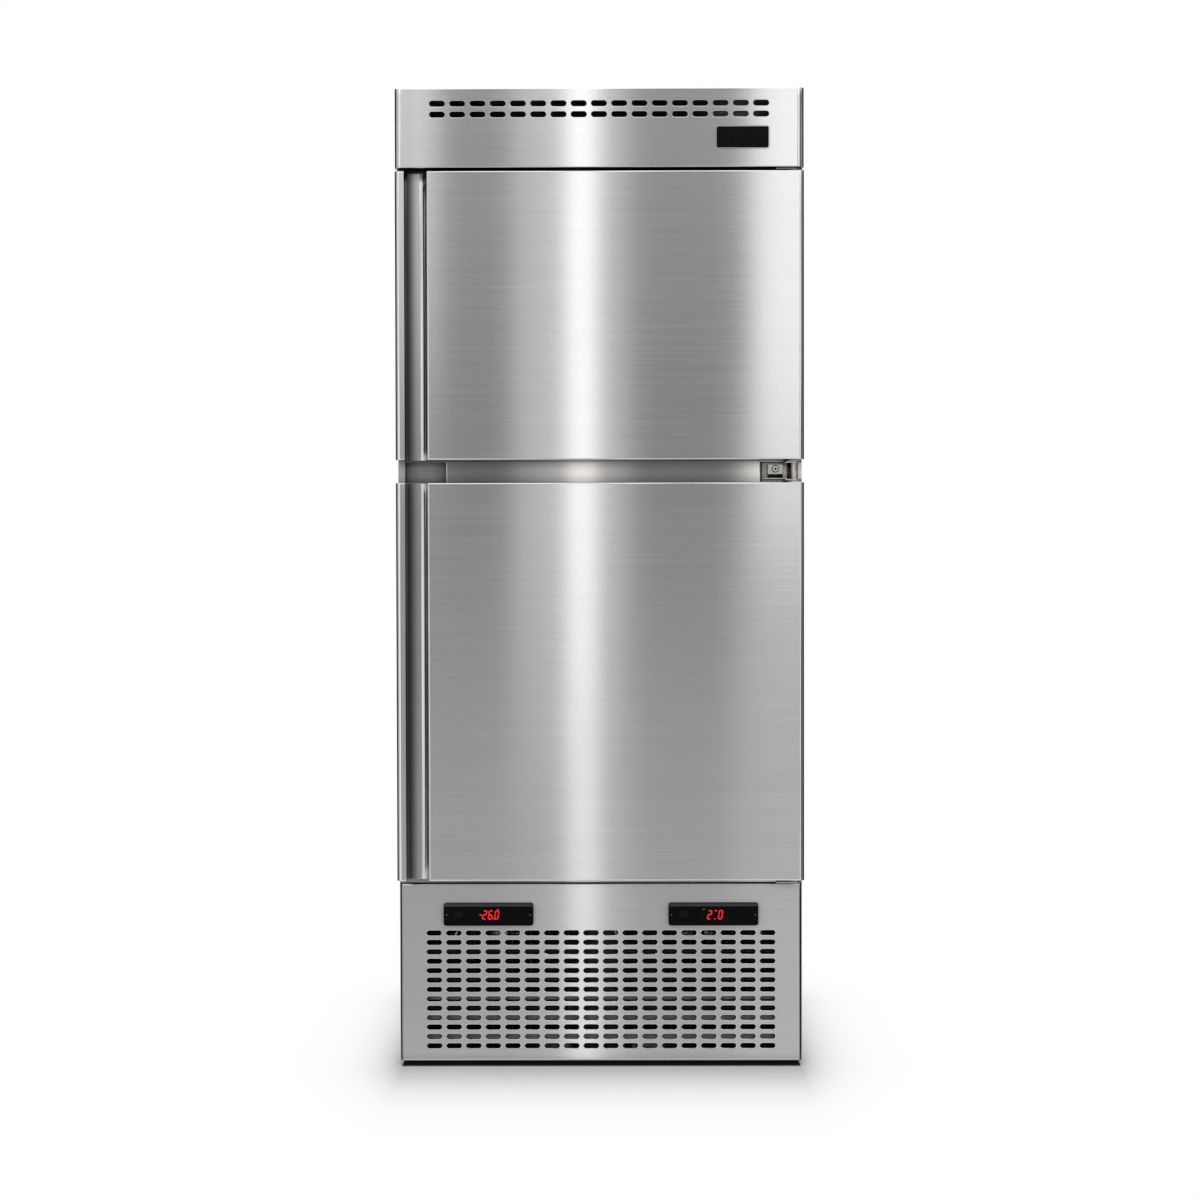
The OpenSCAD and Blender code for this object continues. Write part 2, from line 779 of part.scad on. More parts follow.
module compressor(x) {
  z0 = pan_top + mount_h;
  r = dome_r;
  color([0.08, 0.08, 0.09]) translate([x, comp_y, z0]) {
    rotate_extrude() difference() {
      union() {
        translate([0, comp_plate_t]) square([shell_r - r, shell_h + r]);
        translate([0, comp_plate_t + r]) square([shell_r, shell_h - r]);
        for (z = [comp_plate_t + r, comp_plate_t + shell_h]) translate([shell_r - r, z]) circle(r);
        translate([0, comp_plate_t + shell_h * 0.55]) square([shell_r + 4, 7]);
      }
      translate([-shell_r, -over]) square([shell_r, shell_h * 2]);
    }
    difference() {
      linear_extrude(comp_plate_t) round_rect([-comp_foot[0] - 14, comp_foot[0] + 14],
        [-comp_foot[1] - 14, comp_foot[1] + 14], 12);
      for (sx = [-1, 1], sy = [-1, 1])
        translate([sx * comp_foot[0], sy * comp_foot[1], -over])
          cylinder(r = 7, h = comp_plate_t + 2 * over);
    }
    slab([-25, 25], [shell_r - 12, shell_r + 24], [45, 105]);
  }
}

module left_compressor() {
  compressor(-unit_x);
}

module right_compressor() {
  compressor(unit_x);
}

module compressor_mounts() {
  color([0.12, 0.12, 0.12]) for (s = [-1, 1], sx = [-1, 1], sy = [-1, 1])
    translate([s * unit_x + sx * comp_foot[0], comp_y + sy * comp_foot[1], pan_top]) {
      cylinder(r = mount_r, h = mount_h);
      cylinder(r = 7 - fit, h = mount_h + comp_plate_t + 3);
      translate([0, 0, mount_h + comp_plate_t + fit]) cylinder(r = 10, h = 3 - fit);
    }
}

cond_y0 = base_face_y + base_fold + 12;
cond_z0 = pan_top + 18;
cond_foot_w = 12;

module condenser(x) {
  tube_pitch = cond_h / cond_tubes;
  y = cond_y0 + cond_d / 2;
  color([0.6, 0.6, 0.58]) translate([x, 0, 0]) {
    for (i = [0:cond_fins - 1])
      translate([-cond_w / 2 + 14 + i * (cond_w - 29) / (cond_fins - 1), cond_y0 + 2, cond_z0])
        cube([1, cond_d - 4, cond_h]);
    for (s = [-1, 1]) translate([s * (cond_w / 2 - 11) - 1, cond_y0, pan_top])
      cube([2, cond_d, cond_z0 - pan_top + cond_h]);
    for (j = [0:cond_tubes - 1]) {
      z = cond_z0 + (j + 0.5) * tube_pitch;
      rod([-cond_w / 2 + 10, y, z], [cond_w / 2 - 10, y, z], tube_r, $fn = 24);
      if (j < cond_tubes - 1) {
        side = j % 2 == 0 ? 1 : -1;
        translate([side * (cond_w / 2 - 10), y, z + tube_pitch / 2])
          rotate([90, 0, 0]) rotate([0, 0, side > 0 ? -90 : 90])
            rotate_extrude(angle = 180) translate([tube_pitch / 2, 0]) circle(tube_r, $fn = 24);
      }
    }
  }
}

module left_condenser() {
  condenser(-unit_x);
}

module right_condenser() {
  mirror([1, 0, 0]) condenser(-unit_x);
}

// Shroud that draws the air through a condenser to its fan
shroud_d = 46;
shroud_y = [cond_y0 + cond_d + fit, cond_y0 + cond_d + fit + shroud_d];
cond_fan_z = cond_z0 + cond_h / 2;
tip_gap = 6;

// The two shrouds are joined by a baffle that keeps the air from passing between them
module fan_shrouds() {
  gap = unit_x - cond_w / 2 + over;
  color([0.45, 0.46, 0.47])
    slab([-gap, gap], [shroud_y[0], shroud_y[0] + sheet], [pan_top, cond_z0 + cond_h]);
  color([0.45, 0.46, 0.47]) for (s = [-1, 1]) translate([s * unit_x, 0, 0]) difference() {
    union() {
      slab([-cond_w / 2, cond_w / 2], shroud_y, [cond_z0, cond_z0 + cond_h]);
      for (f = [-1, 1]) translate([f * (cond_w / 2 - 20) - 10, shroud_y[0], pan_top])
        cube([20, 20, cond_z0 - pan_top + over]);
    }
    slab([-cond_w / 2 + sheet, cond_w / 2 - sheet], [shroud_y[0] - over, shroud_y[1] - sheet],
      [cond_z0 + sheet, cond_z0 + cond_h - sheet]);
    translate([0, shroud_y[0], cond_fan_z]) rotate([-90, 0, 0])
      cylinder(d = cond_fan_d + 2 * tip_gap, h = shroud_d + over);
  }
}

// Axial fan about the Y axis: hub, slanted blades and the shaft behind it
shaft_r = 4;
blade_t = 1.6;
blade_angle = 28;

module axial_fan(d, depth, shaft_l) {
  hub_r = d * 0.15;
  rotate([-90, 0, 0]) {
    translate([0, 0, -depth / 2]) cylinder(r = hub_r, h = depth);
    cylinder(r = shaft_r, h = depth / 2 + shaft_l);
    for (i = [0:blade_count - 1]) rotate([0, 0, i * 360 / blade_count]) intersection() {
      translate([0, 0, -depth / 2]) linear_extrude(depth) intersection() {
        circle(d / 2, $fn = 64);
        translate([hub_r * 0.7, -d * 0.17]) round_rect([0, d / 2], [0, d * 0.34], d * 0.05);
      }
      rotate([blade_angle, 0, 0]) translate([0, -d / 2, -blade_t / 2]) cube([d, d, blade_t]);
    }
  }
}

cond_fan_depth = 26;
cond_fan_y = shroud_y[1] - 4;
motor_gap = 1.5;

module condenser_fan(x) {
  color([0.15, 0.15, 0.16]) translate([x, cond_fan_y, cond_fan_z])
    axial_fan(cond_fan_d, cond_fan_depth, 20);
}

module left_condenser_fan() {
  condenser_fan(-unit_x);
}

module right_condenser_fan() {
  condenser_fan(unit_x);
}

cond_motor_r = 36;
cond_motor_l = 48;

// Motor with a bore for the fan shaft, on a bar that two posts hold off the plate around the fan
module fan_motor(reach, y0, plate_y, body_r, body_l) {
  difference() {
    union() {
      translate([0, y0, 0]) rotate([-90, 0, 0]) cylinder(r = body_r, h = body_l);
      slab([-reach - 8, reach + 8], [y0 + 2, y0 + 5], [-10, 10]);
      for (s = [-1, 1]) rod([s * reach, plate_y, 0], [s * reach, y0 + 3, 0], 5);
    }
    translate([0, y0 - over, 0]) rotate([-90, 0, 0]) cylinder(r = shaft_r + pin_play, h = 30 + over);
  }
}

module condenser_fan_motors() {
  y0 = cond_fan_y + cond_fan_depth / 2 + motor_gap;
  color([0.25, 0.25, 0.27]) for (s = [-1, 1]) translate([s * unit_x, 0, cond_fan_z])
    fan_motor(cond_fan_d / 2 + tip_gap + 8, y0, shroud_y[1], cond_motor_r, cond_motor_l);
}

// Copper filter driers, held upright by their pipes
drier_r = 11;
drier_l = 90;
drier_x = -128;
drier_y = comp_y + comp_foot[1] + 60;
drier_z = 190;

module filter_driers() {
  color([0.72, 0.42, 0.28]) both_sides()
    translate([drier_x - unit_x, drier_y, drier_z]) rotate_extrude() {
      square([drier_r - 3, drier_l]);
      translate([0, 3]) square([drier_r, drier_l - 6]);
      intersection() {
        for (z = [3, drier_l - 3]) translate([drier_r - 3, z]) circle(3);
        square([drier_r, drier_l]);
      }
    }
}

// Suction, discharge and liquid lines of both units
module refrigerant_pipes() {
  shell_top = pan_top + mount_h + comp_plate_t + shell_h + dome_r;
  suction = [90, comp_y - 20];
  suction_z = shell_top + 60;
  inlet = [-130, cond_y0 + cond_d / 2];
  inlet_z = cond_z0 + cond_h + 40;
  top_tube_z = cond_z0 + (cond_tubes - 0.5) * cond_h / cond_tubes;
  low_tube_z = cond_z0 + 0.5 * cond_h / cond_tubes;
  outlet_x = -cond_w / 2 + 10;
  aside_x = -cond_w / 2 - 16;
  aside_y = shroud_y[1] + 30;
  color([0.72, 0.42, 0.28]) both_sides() translate([-unit_x, 0, 0]) {
    pipe([[0, suction[1], shell_top], [0, suction[1], suction_z], [suction[0], suction[1], suction_z],
      [suction[0], suction[1], body_z0]], pipe_r, pipe_bend);
    pipe([[-20, comp_y + 10, shell_top], [-20, comp_y + 10, inlet_z], [inlet[0], comp_y + 10, inlet_z],
      [inlet[0], inlet[1], inlet_z], [inlet[0], inlet[1], top_tube_z + tube_r]], pipe_r, pipe_bend);
    rod([drier_x, drier_y, drier_z + drier_l], [drier_x, drier_y, body_z0], pipe_r, $fn = 24);
    pipe([[drier_x, drier_y, drier_z], [drier_x, drier_y, low_tube_z], [drier_x, aside_y, low_tube_z],
      [aside_x, aside_y, low_tube_z], [aside_x, inlet[1], low_tube_z],
      [outlet_x, inlet[1], low_tube_z]], pipe_r, pipe_bend);
  }
}

// Open tray that boils off the defrost water, on four legs
tray_x = 170;
tray_d = 120;
tray_back = 30;
tray_leg = 20;
tray_h = 50;

module condensate_tray() {
  x = tray_x;
  y = [back_in - tray_back - tray_d, back_in - tray_back];
  z = [pan_top + tray_leg, pan_top + tray_leg + tray_h];
  leg = 12;
  color([0.68, 0.69, 0.7]) {
    difference() {
      slab([-x, x], y, z);
      slab([-x + sheet, x - sheet], y + [sheet, -sheet], [z[0] + sheet, z[1] + over]);
    }
    for (px = [-x, x - leg], py = [y[0], y[1] - leg]) translate([px, py, pan_top])
      cube([leg, leg, z[0] - pan_top + sheet / 2]);
  }
}

// Electrical box on the roof, behind the header, with its gland
box_x = [120, 360];
box_y = [60, 240];
box_h = 80;
gland_x = box_x[1] - 40;
gland_z = body_z1 + 35;

module electrical_box() {
  lip = 6;
  color([0.55, 0.56, 0.57]) difference() {
    union() {
      slab(box_x, box_y, [body_z1, body_z1 + box_h]);
      slab(box_x + [-lip, lip], box_y + [-lip, lip], [body_z1 + box_h - 12, body_z1 + box_h]);
    }
    translate([gland_x, box_y[1] - 20, gland_z]) rotate([-90, 0, 0])
      cylinder(r = 8 + fit, h = 20 + over);
  }
}

module cable_gland() {
  color([0.1, 0.1, 0.1]) translate([gland_x, box_y[1], gland_z]) rotate([-90, 0, 0]) difference() {
    union() {
      translate([0, 0, -18]) cylinder(r = 8, h = 19);
      cylinder(r = 13, h = 6, $fn = 6);
      translate([0, 0, 5]) cylinder(r = 11, h = 16);
    }
    translate([0, 0, -18 - over]) cylinder(r = gland_bore_r, h = 39 + 2 * over);
  }
}

// Interior

shelf_y = [face_y + shelf_setback, face_y + shelf_setback + shelf_d];
post_y = [shelf_y[0] + 60, shelf_y[1] - 60 - post_w];
cover_y = cav_y1 - plenum_d;
post_foot = 30;

// Levels of the shelves above the floor of their compartment
upper_levels = [for (i = [1:2]) upper_cav[0] + i * (upper_cav[1] - upper_cav[0]) / 3];
lower_levels = [for (i = [1:3]) lower_cav[0] + i * (lower_cav[1] - lower_cav[0]) / 4];

// Folded post with its open side to the wall and slots in its face
module shelf_post(cav) {
  z = cav + [post_foot, -post_foot];
  count = floor((z[1] - z[0] - 40) / post_pitch);
  difference() {
    slab([cav_x - post_depth, cav_x], [0, post_w], z);
    slab([cav_x - post_depth + rail_t, cav_x + over], [rail_t, post_w - rail_t], z + [-over, over]);
    for (i = [0:count])
      slab(about(cav_x - post_depth, 2 * rail_t + over), about(post_w / 2, 10),
        about(z[0] + 24 + i * post_pitch, 8));
  }
}

module shelf_posts() {
  color([0.74, 0.75, 0.76]) for (cav = [lower_cav, upper_cav], y = post_y)
    both_sides() translate([0, y, 0]) shelf_post(cav);
}

runner_x1 = cav_x - post_depth;
shelf_w = 2 * (runner_x1 - rail_t - shelf_play);

module shelf_runners() {
  color([0.74, 0.75, 0.76]) for (z = concat(lower_levels, upper_levels)) both_sides() {
    slab([runner_x1 - ledge_w, runner_x1], shelf_y, [z - rail_t, z]);
    slab([runner_x1 - rail_t, runner_x1], shelf_y, [z - rail_t, z + runner_h]);
  }
}

// Wire shelf that rests on its runners at height z
module wire_shelf(z) {
  r = frame_rod_d / 2;
  corner = 22;
  x = shelf_w / 2 - r;
  y = [shelf_y[0] + r, shelf_y[1] - r];
  zc = z + r;
  wz = zc + r + wire_d / 2 - 1;
  color([0.8, 0.8, 0.8]) {
    for (s = [-1, 1]) rod([s * x, y[0] + corner, zc], [s * x, y[1] - corner, zc], r);
    for (yy = y) rod([-x + corner, yy, zc], [x - corner, yy, zc], r);
    for (sx = [-1, 1], k = [0, 1])
      translate([sx * (x - corner), y[k] + (k == 0 ? corner : -corner), zc])
        rotate([0, 0, sx > 0 ? (k == 0 ? -90 : 0) : (k == 0 ? 180 : 90)])
          rotate_extrude(angle = 90) translate([corner, 0]) circle(r);
    for (t = [1, 2]) {
      yy = y[0] + t * (y[1] - y[0]) / 3;
      rod([-x, yy, zc], [x, yy, zc], r * 0.8);
    }
    for (i = [0:wire_count - 1]) {
      xx = -x + corner + 4 + i * (2 * x - 2 * corner - 8) / (wire_count - 1);
      rod([xx, y[0] - 1, wz], [xx, y[1] + 1, wz], wire_d / 2, $fn = 24);
    }
  }
}

module upper_shelf_1() {
  wire_shelf(upper_levels[0]);
}

module upper_shelf_2() {
  wire_shelf(upper_levels[1]);
}

module lower_shelf_1() {
  wire_shelf(lower_levels[0]);
}

module lower_shelf_2() {
  wire_shelf(lower_levels[1]);
}

module lower_shelf_3() {
  wire_shelf(lower_levels[2]);
}

// Evaporator, fan and cover at the back of a compartment

evap_fan_depth = 22;
evap_fan_y = cover_y + 24;
evap_h = 190;
// Space beside the evaporator, for its bends and pipes
evap_side = 105;
evap_d = 56;
evap_rise = 100;
evap_back = 6;
evap_motor_r = 30;
evap_motor_l = 36;
fan_drop = 120;

function fan_z(cav) = cav[1] - fan_drop;

return_gap = 70;
cover_fold = 30;
guard_pitch = 13;
guard_slot_h = 8;
return_slot_l = 36;
return_slot_h = 9;

// Air cover: folded panel with a stamped guard over the fan and slots for the return air
module air_cover(cav) {
  x = cav_x - fit;
  z = [cav[0] + return_gap, cav[1] - cove_r - fit];
  fold = cover_fold;
  guard_rows = 5;
  color([0.76, 0.77, 0.78]) difference() {
    slab([-x, x], [cover_y, cover_y + fold], z);
    slab([-x + sheet, x - sheet], [cover_y + sheet, cover_y + fold + over],
      z + [-over, -sheet]);
    along_y([cover_y - over, cover_y + sheet + over]) {
      for (j = [-guard_rows:guard_rows]) {
        span = 2 * sqrt(pow(evap_fan_d / 2, 2) - pow(j * guard_pitch, 2));
        for (i = [-1, 0, 1]) translate([i * span / 3, fan_z(cav) + j * guard_pitch])
          slot_2d(span / 3 - 5, guard_slot_h);
      }
      translate([0, z[0] + cover_fold])
        slot_field(12, 3, return_slot_l + 12, return_slot_h + 11, return_slot_l, return_slot_h);
    }
  }
}

module upper_air_cover() {
  air_cover(upper_cav);
}

module lower_air_cover() {
  air_cover(lower_cav);
}

// Finned coil that hangs on the back wall
module evaporator(cav) {
  x = [-cav_x + evap_side, cav_x - evap_side];
  y = [cav_y1 - evap_back - evap_d, cav_y1 - evap_back];
  z = [cav[0] + evap_rise, cav[0] + evap_rise + evap_h];
  fins = 13;
  tubes = 5;
  pitch = evap_h / tubes;
  yc = (y[0] + y[1]) / 2;
  color([0.72, 0.73, 0.74]) {
    for (i = [0:fins - 1]) translate([x[0] + i * (x[1] - x[0]) / (fins - 1) - 0.5, y[0], z[0]])
      cube([1, y[1] - y[0], evap_h]);
    for (s = [0, 1]) slab([x[s] - 1 - (s == 0 ? 20 : 0), x[s] + 1 + (s == 0 ? 0 : 20)],
      [cav_y1 - 2, cav_y1], z);
    for (s = [0, 1]) slab([x[s] - 1, x[s] + 1], [y[0], cav_y1], z);
    for (j = [0:tubes - 1]) {
      zz = z[0] + (j + 0.5) * pitch;
      rod([x[0] - 12, yc, zz], [x[1] + 12, yc, zz], tube_r, $fn = 24);
      if (j < tubes - 1) {
        side = j % 2 == 0 ? 1 : -1;
        translate([side * (x[1] + 12), yc, zz + pitch / 2])
          rotate([90, 0, 0]) rotate([0, 0, side > 0 ? -90 : 90])
            rotate_extrude(angle = 180) translate([pitch / 2, 0]) circle(tube_r, $fn = 24);
      }
    }
  }
}

module upper_evaporator() {
  evaporator(upper_cav);
}

module lower_evaporator() {
  evaporator(lower_cav);
}

module evaporator_fan(cav) {
  color([0.15, 0.15, 0.16]) translate([0, evap_fan_y, fan_z(cav)])
    axial_fan(evap_fan_d, evap_fan_depth, 16);
}

module upper_evaporator_fan() {
  evaporator_fan(upper_cav);
}

module lower_evaporator_fan() {
  evaporator_fan(lower_cav);
}

module evaporator_fan_motors() {
  y0 = evap_fan_y + evap_fan_depth / 2 + motor_gap;
  color([0.25, 0.25, 0.27]) for (cav = [lower_cav, upper_cav])
    translate([0, 0, fan_z(cav)])
      fan_motor(evap_fan_d / 2 + 16, y0, cover_y + sheet, evap_motor_r, evap_motor_l);
}

// Doors

// The handle channel seen from above, grown by e into the door
module channel_2d(e) {
  x0 = -half_w + lip_w;
  x1 = x0 + channel_w;
  floor_y = front_y + channel_d;
  cx = x0 - undercut + undercut_r;
  translate([x0 - e, front_y - over]) square([channel_w + 2 * e, channel_d - channel_r + over]);
  translate([cx, floor_y - undercut_r - e]) square([x1 - channel_r - cx, undercut_r + 2 * e]);
  translate([x0 - e, floor_y - channel_r - over])
    square([x1 - channel_r - x0 + e, channel_r - undercut_r + over]);
  translate([cx, floor_y - undercut_r]) circle(undercut_r + e);
  translate([x1 - channel_r, floor_y - channel_r]) circle(channel_r + e);
  difference() {
    translate([x1 - over, front_y - over]) square([bend_r + over, bend_r + over]);
    translate([x1 + bend_r, front_y + bend_r]) circle(bend_r - e);
    translate([x1 + e, front_y + bend_r]) square([bend_r, over]);
  }
}

// The whole door seen from above, drawn in by e
module door_2d(e) {
  r = door_edge_r - e;
  x = half_w - e;
  difference() {
    union() {
      translate([-x + r, front_y + e]) square([2 * (x - r), door_t - 2 * e]);
      translate([-x, front_y + e + r]) square([2 * x, door_t - 2 * e - r]);
      for (s = [-1, 1]) translate([s * (x - r), front_y + e + r]) circle(r);
    }
    channel_2d(e);
  }
}

// The whole door with its front edges rounded, drawn in by e
module door_block(z, e) {
  intersection() {
    translate([0, 0, z[0] + e]) linear_extrude(z[1] - z[0] - 2 * e) door_2d(e);
    across([front_y + e, door_y1 + door_fold_r], z + [e, -e], door_fold_r - e);
  }
}

// Cut for the hinge bushes at both ends of a door
module bush_bores(z, r) {
  for (zz = [z[0] - over, z[1] - pin_h - 6]) translate([axis_x, axis_y, zz])
    cylinder(r = r, h = pin_h + 6 + over);
}

module door_skin(z) {
  color([0.75, 0.76, 0.77]) difference() {
    door_block(z, 0);
    door_block(z, sheet);
    slab([-half_w + door_strip_w, half_w - door_strip_w], [door_y1 - 2 * sheet, door_y1 + over],
      z + [door_strip_w, -door_strip_w]);
    bush_bores(z, bush_d / 2 + fit);
  }
}

// Inner panel: a formed sheet whose rim lies under the folded strips of the skin
panel_rim = 8;
panel_y = [door_y1 - 2 * sheet, door_y1 - sheet];

module plateau_2d(z, e) {
  round_rect([-half_w + plateau_inset + e, half_w - plateau_inset - e],
    [z[0] + plateau_inset + e, z[1] - plateau_inset - e], 30);
}

module door_inner_panel(z) {
  color([0.82, 0.83, 0.84]) difference() {
    union() {
      slab([-half_w + panel_rim, half_w - panel_rim], panel_y, z + [panel_rim, -panel_rim]);
      along_y([panel_y[0], door_y1 + plateau_h]) plateau_2d(z, 0);
    }
    along_y([panel_y[0] - over, door_y1 + plateau_h - sheet]) plateau_2d(z, sheet);
  }
}

module door_core(z) {
  e = sheet + fit;
  color([0.93, 0.89, 0.72]) difference() {
    union() {
      difference() {
        door_block(z, e);
        slab([-half_w, half_w], [panel_y[0] - fit, door_y1 + over], z);
      }
      along_y([panel_y[0] - over, door_y1 + plateau_h - e]) plateau_2d(z, e);
    }
    bush_bores(z, bush_d / 2 + fit);
  }
}

// Ring of the seal seen from the front, drawn in by e on both edges
module seal_2d(z, e) {
  out = seal_inset + e;
  in = seal_inset + seal_w - e;
  difference() {
    round_rect([-half_w + out, half_w - out], z + [out, -out], 8);
    round_rect([-half_w + in, half_w - in], z + [in, -in], 3);
  }
}

// Seal: a base strip, the folds of its bellows and the magnet strip that meets the cabinet face
seal_neck = 4.5;
seal_fold = 1.5;

module door_seal(z) {
  y = [panel_y[1] + fit, face_y - fit];
  step = (y[1] - y[0]) / 7;
  color([0.25, 0.25, 0.26]) {
    along_y(y) seal_2d(z, seal_neck);
    along_y([y[0], y[0] + 2 * step]) seal_2d(z, 0);
    along_y([y[0] + 3 * step, y[0] + 4 * step]) seal_2d(z, seal_fold);
    along_y([y[1] - 2 * step, y[1]]) seal_2d(z, 0);
  }
}

// Flanged bush for the lower end of a door, from the door end up
module bush() {
  flange = hinge_space - fit;
  difference() {
    union() {
      cylinder(d = bush_d, h = pin_h + 4);
      translate([0, 0, -flange]) cylinder(d = bush_d + 8, h = flange);
    }
    translate([0, 0, -flange - over]) cylinder(r = pin_d / 2 + pin_play, h = flange + over + pin_h + 2);
  }
}

module door_bushes(z) {
  color([0.9, 0.9, 0.88]) translate([axis_x, axis_y, 0]) {
    translate([0, 0, z[0]]) bush();
    translate([0, 0, z[1]]) mirror([0, 0, 1]) bush();
  }
}

lower_door_z = [lower_z0, lower_z1];
upper_door_z = [upper_z0, upper_z1];

module upper_door_skin() {
  door_skin(upper_door_z);
}

module upper_door_core() {
  door_core(upper_door_z);
}

module upper_door_inner_panel() {
  door_inner_panel(upper_door_z);
}

module upper_door_seal() {
  door_seal(upper_door_z);
}

module upper_door_bushes() {
  door_bushes(upper_door_z);
}

module lower_door_skin() {
  door_skin(lower_door_z);
}

module lower_door_core() {
  door_core(lower_door_z);
}

module lower_door_inner_panel() {
  door_inner_panel(lower_door_z);
}

module lower_door_seal() {
  door_seal(lower_door_z);
}

module lower_door_bushes() {
  door_bushes(lower_door_z);
}

insulation();
left_side_panel();
right_side_panel();
back_panel();
roof_panel();
floor_panel();
front_frame();
upper_liner();
lower_liner();
thermal_breaks();
header_panel();
top_cover();
top_hinge();
middle_hinge();
bottom_hinge();
case_screws();
base_pan();
levelling_feet();
base_panel();
rear_grille();
controllers();
display_windows();
left_compressor();
right_compressor();
compressor_mounts();
left_condenser();
right_condenser();
fan_shrouds();
condenser_fan_motors();
left_condenser_fan();
right_condenser_fan();
filter_driers();
refrigerant_pipes();
condensate_tray();
electrical_box();
cable_gland();
shelf_posts();
shelf_runners();
upper_shelf_1();
upper_shelf_2();
lower_shelf_1();
lower_shelf_2();
lower_shelf_3();
upper_air_cover();
lower_air_cover();
upper_evaporator();
lower_evaporator();
upper_evaporator_fan();
lower_evaporator_fan();
evaporator_fan_motors();
upper_door_skin();
upper_door_core();
upper_door_inner_panel();
upper_door_seal();
upper_door_bushes();
lower_door_skin();
lower_door_core();
lower_door_inner_panel();
lower_door_seal();
lower_door_bushes();
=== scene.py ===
# %% [markdown]
# # An upright refrigerator freezer for a kitchen
#
# The cabinet is brushed stainless steel: a slotted header, two half doors that hang on the right,
# and a slotted base with two temperature controllers. Its solids come packed from the CAD model and
# stay where they are. This lesson lights them as in the photograph, gives every surface a finish,
# and models the small forms that the solids leave out. All lengths are in metres.

import json
import math

import bpy
from mathutils import Matrix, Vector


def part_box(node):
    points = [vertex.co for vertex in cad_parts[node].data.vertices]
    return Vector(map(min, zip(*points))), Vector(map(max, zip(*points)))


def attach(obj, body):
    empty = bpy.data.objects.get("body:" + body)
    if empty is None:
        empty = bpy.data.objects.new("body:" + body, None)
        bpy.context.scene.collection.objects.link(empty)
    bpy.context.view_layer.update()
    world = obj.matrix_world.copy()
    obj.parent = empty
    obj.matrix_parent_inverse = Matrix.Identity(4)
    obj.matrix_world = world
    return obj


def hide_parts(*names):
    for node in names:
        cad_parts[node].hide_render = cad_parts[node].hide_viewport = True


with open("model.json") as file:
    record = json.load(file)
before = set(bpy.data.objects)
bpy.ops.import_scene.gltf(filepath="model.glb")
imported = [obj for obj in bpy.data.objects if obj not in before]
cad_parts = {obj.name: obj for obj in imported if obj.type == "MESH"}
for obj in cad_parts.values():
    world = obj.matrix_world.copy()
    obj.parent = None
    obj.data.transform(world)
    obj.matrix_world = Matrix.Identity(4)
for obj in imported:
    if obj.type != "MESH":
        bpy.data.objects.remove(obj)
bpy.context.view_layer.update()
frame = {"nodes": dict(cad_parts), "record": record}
solids = frame["nodes"]

# %% [markdown]
# ## The camera
#
# The photograph is taken from straight ahead with a long lens, so the sides don't show and upright
# lines stay upright. The lens, the distance and the slight tilt were worked out from the edges of the
# cabinet: the base lies deeper than the doors, and how much smaller it looks gives the distance.

# %% Camera
camera_turns = ((0.327, "Z"), (90.0 - 1.17, "X"), (-0.124, "Z"))  # turn, tilt and roll, in degrees

camera = bpy.data.objects.new("camera", bpy.data.cameras.new("camera"))
bpy.context.scene.collection.objects.link(camera)
camera.data.sensor_width = 36.0
camera.data.lens = 68.1
camera.location = (0.0262, -5.0094, 1.058)
turn, tilt, roll = (Matrix.Rotation(math.radians(angle), 3, axis) for angle, axis in camera_turns)
camera.rotation_euler = (turn @ tilt @ roll).to_euler()
bpy.context.scene.camera = camera
bpy.context.scene.view_settings.view_transform = "Standard"

# %% [markdown]
# ## Small helpers for shader nodes
#
# Every finish below is a node tree. Adding nodes and links by hand takes many lines, so one helper
# adds a node, sets its values and makes its links in one call. The others wrap the few kinds of node
# that nearly every finish needs: sums, vectors, ranges, and the mix of two colours or two shaders.

# %% Node helpers
def add_node(tree, kind, sockets=None, **settings):
    """Adds a node. A socket's value may be a number, a colour or another node's output."""
    made = tree.nodes.new(kind)
    for name, value in settings.items():
        setattr(made, name, value)
    for key, value in (sockets or {}).items():
        target = made.inputs[key]
        if isinstance(value, bpy.types.NodeSocket):
            tree.links.new(value, target)
        else:
            target.default_value = value
    return made


def math_node(tree, operation, a, b=0.0, clamp=False):
    return add_node(tree, "ShaderNodeMath", {0: a, 1: b},
                    operation=operation, use_clamp=clamp).outputs[0]


def times(tree, a, b):
    return math_node(tree, "MULTIPLY", a, b)


def vector_math(tree, operation, a, b=(0.0, 0.0, 0.0), output="Vector"):
    return add_node(tree, "ShaderNodeVectorMath", {0: a, 1: b}, operation=operation).outputs[output]


def object_point(tree):
    """The place of the shaded point, measured on its object."""
    return add_node(tree, "ShaderNodeTexCoord").outputs["Object"]


def axes_of(tree, vector=None):
    """The X, Y and Z of a vector, or else of the shaded point."""
    vector = object_point(tree) if vector is None else vector
    return add_node(tree, "ShaderNodeSeparateXYZ", {0: vector}).outputs


def spread(tree, value, low, high, to_low=0.0, to_high=1.0, kind="LINEAR"):
    """Stretches a value from one range to another, and holds it at the ends."""
    sockets = {"Value": value, "From Min": low, "From Max": high, "To Min": to_low, "To Max": to_high}
    return add_node(tree, "ShaderNodeMapRange", sockets, interpolation_type=kind).outputs["Result"]


def eased(tree, *values):
    """Like spread, with soft ends."""
    return spread(tree, *values, kind="SMOOTHSTEP")


def blend_colour(tree, factor, first, second):
    """The mix node keeps its colours in sockets 6 and 7, and puts out their mix as number 2."""
    colours = {0: factor, 6: first, 7: second}
    return add_node(tree, "ShaderNodeMix", colours, data_type="RGBA").outputs[2]


def grey(value, warmth=0.0):
    """A grey of that brightness, slightly warm or cool."""
    return (value * (1 + warmth), value, value * (1 - warmth), 1.0)


def cleared(owner):
    """The emptied node tree of a material or a world."""
    owner.use_nodes = True
    owner.node_tree.nodes.clear()
    return owner.node_tree


